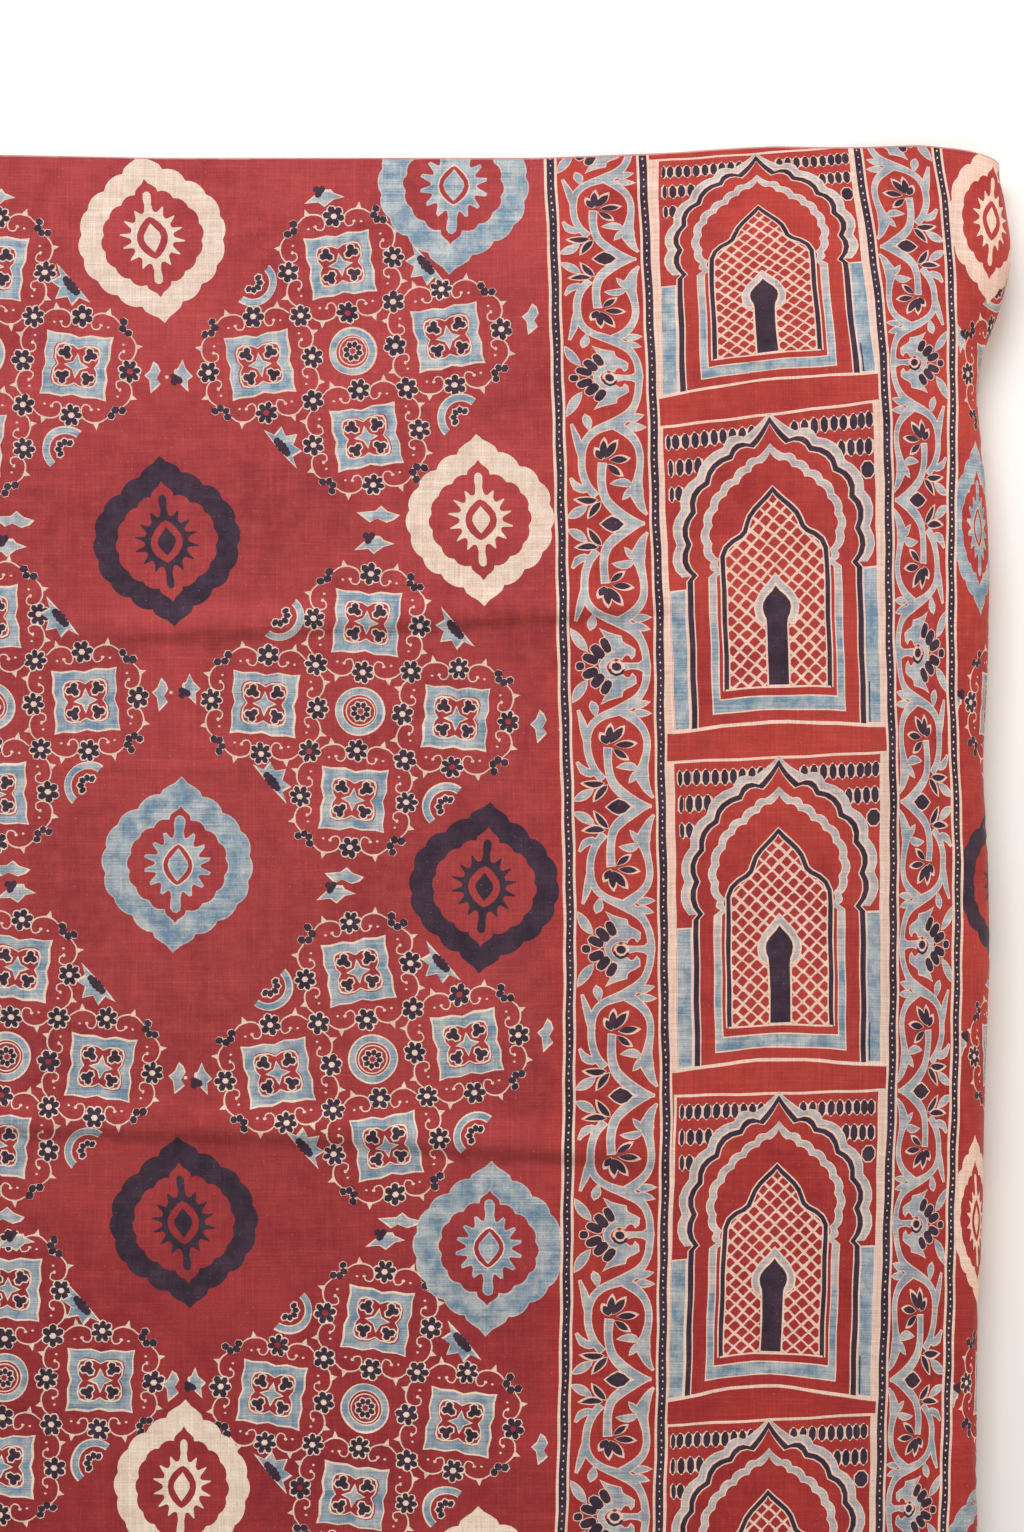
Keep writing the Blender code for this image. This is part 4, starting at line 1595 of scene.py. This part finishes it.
# ---------------------------------------------------------------- the material
class Nodes:
    def __init__(self, tree):
        self.tree = tree

    def add(self, kind, **values):
        node = self.tree.nodes.new(kind)
        for name, value in values.items():
            setattr(node, name, value)
        return node

    def link(self, a, b):
        self.tree.links.new(a, b)

    def put(self, socket, value):
        if hasattr(value, "links"):
            self.link(value, socket)
        else:
            socket.default_value = value

    def math(self, op, a, b=0.0, c=None, clamp=False):
        node = self.add("ShaderNodeMath", operation=op, use_clamp=clamp)
        self.put(node.inputs[0], a)
        self.put(node.inputs[1], b)
        if c is not None:
            self.put(node.inputs[2], c)
        return node.outputs[0]

    def scaled(self, vector, x, y, dx=0.0, dy=0.0):
        node = self.add("ShaderNodeMapping")
        self.link(vector, node.inputs["Vector"])
        node.inputs["Scale"].default_value = (x, y, 1.0)
        node.inputs["Location"].default_value = (dx, dy, 0.0)
        return node.outputs[0]

    def noise(self, vector, scale, detail=2.0, rough=0.5, warp=0.0):
        node = self.add("ShaderNodeTexNoise", noise_dimensions="2D")
        self.link(vector, node.inputs["Vector"])
        node.inputs["Scale"].default_value = scale
        node.inputs["Detail"].default_value = detail
        node.inputs["Roughness"].default_value = rough
        node.inputs["Distortion"].default_value = warp
        return node.outputs["Fac"]

    def ramp(self, value, lo, hi, to_lo=0.0, to_hi=1.0):
        node = self.add("ShaderNodeMapRange", clamp=True)
        self.link(value, node.inputs["Value"])
        for name, v in (("From Min", lo), ("From Max", hi), ("To Min", to_lo), ("To Max", to_hi)):
            node.inputs[name].default_value = v
        return node.outputs["Result"]

    def mix(self, amount, a, b, kind="MIX"):
        node = self.add("ShaderNodeMix", data_type="RGBA", blend_type=kind)
        self.put(node.inputs[0], amount)
        self.put(node.inputs[6], a)
        self.put(node.inputs[7], b)
        return node.outputs[2]


def srgb(r, g, b):
    def one(c):
        c /= 255.0
        return c / 12.92 if c <= 0.04045 else ((c + 0.055) / 1.055) ** 2.4

    return (one(r), one(g), one(b), 1.0)


def printed_cotton():
    material = bpy.data.materials.new("printed_cotton")
    material.use_nodes = True
    tree = material.node_tree
    n = Nodes(tree)
    shader = tree.nodes["Principled BSDF"]
    uv = n.add("ShaderNodeUVMap", uv_map="cloth").outputs["UV"]

    dyes = n.add("ShaderNodeAttribute", attribute_name="dyes", attribute_type="GEOMETRY")
    parts = n.add("ShaderNodeSeparateColor")
    n.link(dyes.outputs["Color"], parts.inputs["Color"])
    black, blue, cream = parts.outputs[0], parts.outputs[1], parts.outputs[2]
    front = dyes.outputs["Alpha"]

    # threads: across and along, each a little thick and thin
    weft = n.noise(n.scaled(uv, 26, 1150), 1.0, 2.0, 0.6)
    warp = n.noise(n.scaled(uv, 1250, 30, 5, 3), 1.0, 2.0, 0.6)
    slub_a = n.noise(n.scaled(uv, 14, 420, 2, 9), 1.0, 1.5, 0.5)
    slub_b = n.noise(n.scaled(uv, 460, 12, 7, 1), 1.0, 1.5, 0.5)
    grain = n.noise(uv, 900.0, 2.0, 0.6)
    cloud = n.noise(uv, 11.0, 3.0, 0.55, 0.3)
    patch = n.noise(n.scaled(uv, 1, 1, 3.3, 1.7), 70.0, 3.0, 0.6)
    spots = n.noise(n.scaled(uv, 1, 1, 8.1, 4.9), 420.0, 2.0, 0.6)

    # Ground: madder red, streaked and clouded
    red = n.mix(n.ramp(cloud, 0.3, 0.72), srgb(136, 43, 49), srgb(160, 59, 60))
    red = n.mix(n.ramp(patch, 0.35, 0.75, 0.0, 0.5), red, srgb(171, 68, 65))
    # painted warm light: on the right-hand part, where the borders are, the red is made more orange and brighter
    across = n.add("ShaderNodeSeparateXYZ")
    n.link(uv, across.inputs[0])
    warm_lit_red = n.mix(n.ramp(cloud, 0.3, 0.72), srgb(144, 41, 42), srgb(168, 58, 51))
    warm_lit_red = n.mix(n.ramp(patch, 0.35, 0.75, 0.0, 0.5), warm_lit_red, srgb(178, 68, 57))
    warm_lit_side = n.ramp(across.outputs[0], 0.470, 0.490)
    red = n.mix(warm_lit_side, red, warm_lit_red)
    # painted shade: the red is darkened and deepened towards the bottom of the cloth
    red = n.mix(n.ramp(across.outputs[1], 0.58, 0.78), red, (0.91, 0.70, 0.77, 1.0), "MULTIPLY")
    # Indigo and the greyer blue of the fine lines
    uneven = n.math("ADD", n.math("MULTIPLY", patch, 0.62), n.math("MULTIPLY", spots, 0.18))
    uneven = n.math("ADD", uneven, n.math("MULTIPLY", weft, 0.20))
    pale = n.mix(n.ramp(uneven, 0.39, 0.61), srgb(100, 131, 152), srgb(172, 178, 179))
    pale = n.mix(n.ramp(spots, 0.55, 0.80, 0.0, 0.55), pale, srgb(150, 96, 100))
    # Iron black
    dark = n.mix(n.ramp(patch, 0.3, 0.75), srgb(44, 31, 46), srgb(66, 48, 62))
    # Undyed cloth
    plain = n.mix(n.ramp(patch, 0.3, 0.7), srgb(200, 177, 161), srgb(213, 193, 179))
    # the undyed cloth is paler towards the bottom
    paler_plain = n.mix(n.ramp(patch, 0.3, 0.7), srgb(220, 198, 178), srgb(233, 215, 197))
    plain = n.mix(n.ramp(across.outputs[1], 0.10, 0.85), plain, paler_plain)
    plain = n.mix(n.ramp(spots, 0.62, 0.85, 0.0, 0.45), plain, srgb(200, 132, 116))
    # painted warm light: on the right-hand part the undyed cloth is made paler and pinker
    plain = n.mix(n.math("MULTIPLY", warm_lit_side, 0.45), plain, srgb(228, 186, 170))

    colour = n.mix(black, red, dark)
    colour = n.mix(blue, colour, pale)
    colour = n.mix(cream, colour, plain)
    # Pale neps in the yarn, where the dyes did not take
    neps = n.noise(n.scaled(uv, 1.0, 1.6, 2.2, 6.4), 480.0, 1.5, 0.6)
    colour = n.mix(n.ramp(neps, 0.74, 0.82, 0.0, 0.30), colour, srgb(206, 168, 158))
    # The back: the print comes through only as a faint cloud
    reverse = n.mix(n.ramp(cloud, 0.35, 0.7), srgb(150, 60, 60), srgb(172, 84, 78))
    colour = n.mix(front, reverse, colour)

    # The threads take the dye unevenly
    tone = n.math("ADD", n.ramp(weft, 0.2, 0.8, -0.14, 0.14), n.ramp(warp, 0.2, 0.8, -0.14, 0.14))
    tone = n.math("ADD", tone, n.ramp(slub_a, 0.55, 0.85, 0.0, 0.16))
    tone = n.math("ADD", tone, n.ramp(slub_b, 0.55, 0.85, 0.0, 0.16))
    tone = n.math("ADD", tone, n.ramp(grain, 0.2, 0.8, -0.10, 0.10))
    tone = n.math("ADD", tone, 1.0)
    level = n.add("ShaderNodeCombineColor")
    for k in range(3):
        n.link(tone, level.inputs[k])
    colour = n.mix(1.0, colour, level.outputs[0], "MULTIPLY")
    n.link(colour, shader.inputs["Base Color"])

    shader.inputs["Roughness"].default_value = 0.88
    shader.inputs["Specular IOR Level"].default_value = 0.25
    shader.inputs["Sheen Weight"].default_value = 0.18
    shader.inputs["Sheen Roughness"].default_value = 0.5
    shader.inputs["Sheen Tint"].default_value = (1.0, 0.82, 0.78, 1.0)

    # Weave, slubs and the small puckers of washed cotton
    pucker = n.noise(uv, 120.0, 3.0, 0.5, 0.5)
    ripple = n.noise(n.scaled(uv, 34, 9), 1.0, 2.0, 0.5, 0.4)
    height = n.math("MULTIPLY", weft, 0.00010)
    height = n.math("ADD", height, n.math("MULTIPLY", warp, 0.00010))
    height = n.math("ADD", height, n.math("MULTIPLY", slub_a, 0.00010))
    height = n.math("ADD", height, n.math("MULTIPLY", slub_b, 0.00010))
    height = n.math("ADD", height, n.math("MULTIPLY", pucker, 0.00050))
    height = n.math("ADD", height, n.math("MULTIPLY", ripple, 0.00120))
    relief = n.add("ShaderNodeBump")
    relief.inputs["Strength"].default_value = 0.9
    relief.inputs["Distance"].default_value = 1.0
    n.link(height, relief.inputs["Height"])
    n.link(relief.outputs["Normal"], shader.inputs["Normal"])
    return material


def floor_material():
    material = bpy.data.materials.new("pale_floor")
    material.use_nodes = True
    shader = material.node_tree.nodes["Principled BSDF"]
    shader.inputs["Base Color"].default_value = (0.86, 0.86, 0.85, 1.0)
    shader.inputs["Roughness"].default_value = 0.9
    shader.inputs["Specular IOR Level"].default_value = 0.2
    return material


# ---------------------------------------------------------------- the scene
def build_floor():
    mesh = bpy.data.meshes.new("floor")
    s = 12.0
    mesh.from_pydata([(-s, -s, 0), (s, -s, 0), (s, s, 0), (-s, s, 0)], [], [(0, 1, 2, 3)])
    mesh.materials.append(floor_material())
    floor = bpy.data.objects.new("floor", mesh)
    bpy.context.scene.collection.objects.link(floor)
    floor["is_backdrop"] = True
    return floor


def area_light(name, place, target, size, power, colour=(1, 1, 1)):
    data = bpy.data.lights.new(name, "AREA")
    data.shape = "RECTANGLE"
    data.size, data.size_y = size
    data.energy = power
    data.color = colour
    light = bpy.data.objects.new(name, data)
    light.location = place
    way = Vector(target) - Vector(place)
    light.rotation_euler = way.to_track_quat("-Z", "Y").to_euler()
    bpy.context.scene.collection.objects.link(light)
    return light


def build_lights():
    world = bpy.data.worlds.new("studio")
    bpy.context.scene.world = world
    world.use_nodes = True
    back = world.node_tree.nodes["Background"]
    back.inputs["Color"].default_value = (1.0, 0.985, 0.97, 1.0)
    back.inputs["Strength"].default_value = 0.50
    area_light("window", (-0.2, 1.80, 1.22), (0.0, 0.1, 0.0), (1.5, 0.8), 41.0, (0.96, 0.98, 1.0))
    area_light("lamp", (1.75, 0.15, 1.05), (0.2, 0.0, 0.0), (0.8, 1.2), 11.0, (1.0, 0.72, 0.48))
    area_light("fill", (-1.5, -0.6, 1.9), (0.0, 0.0, 0.0), (1.4, 1.4), 4.0, (1.0, 0.97, 0.97))


def build_camera():
    data = bpy.data.cameras.new("camera")
    data.sensor_width = 36.0
    data.sensor_fit = "AUTO"
    data.lens = 36.0 * CAMERA_HEIGHT / FRAME_HEIGHT
    data.clip_end = 50.0
    camera = bpy.data.objects.new("camera", data)
    camera.location = (CENTRE[0], CENTRE[1], CAMERA_HEIGHT)
    camera.rotation_euler = (0, 0, 0)
    bpy.context.scene.collection.objects.link(camera)
    bpy.context.scene.camera = camera


def main():
    bpy.context.scene.view_settings.view_transform = "Standard"
    cloth = build_cloth()
    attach(cloth, "root")
    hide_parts("ajrakh_cloth")
    floor = build_floor()
    build_lights()
    build_camera()


main()


def plain(box):
    return [[float(v) for v in corner] for corner in box]


{"cad": plain(CAD_BOX), "visual": plain(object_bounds())}
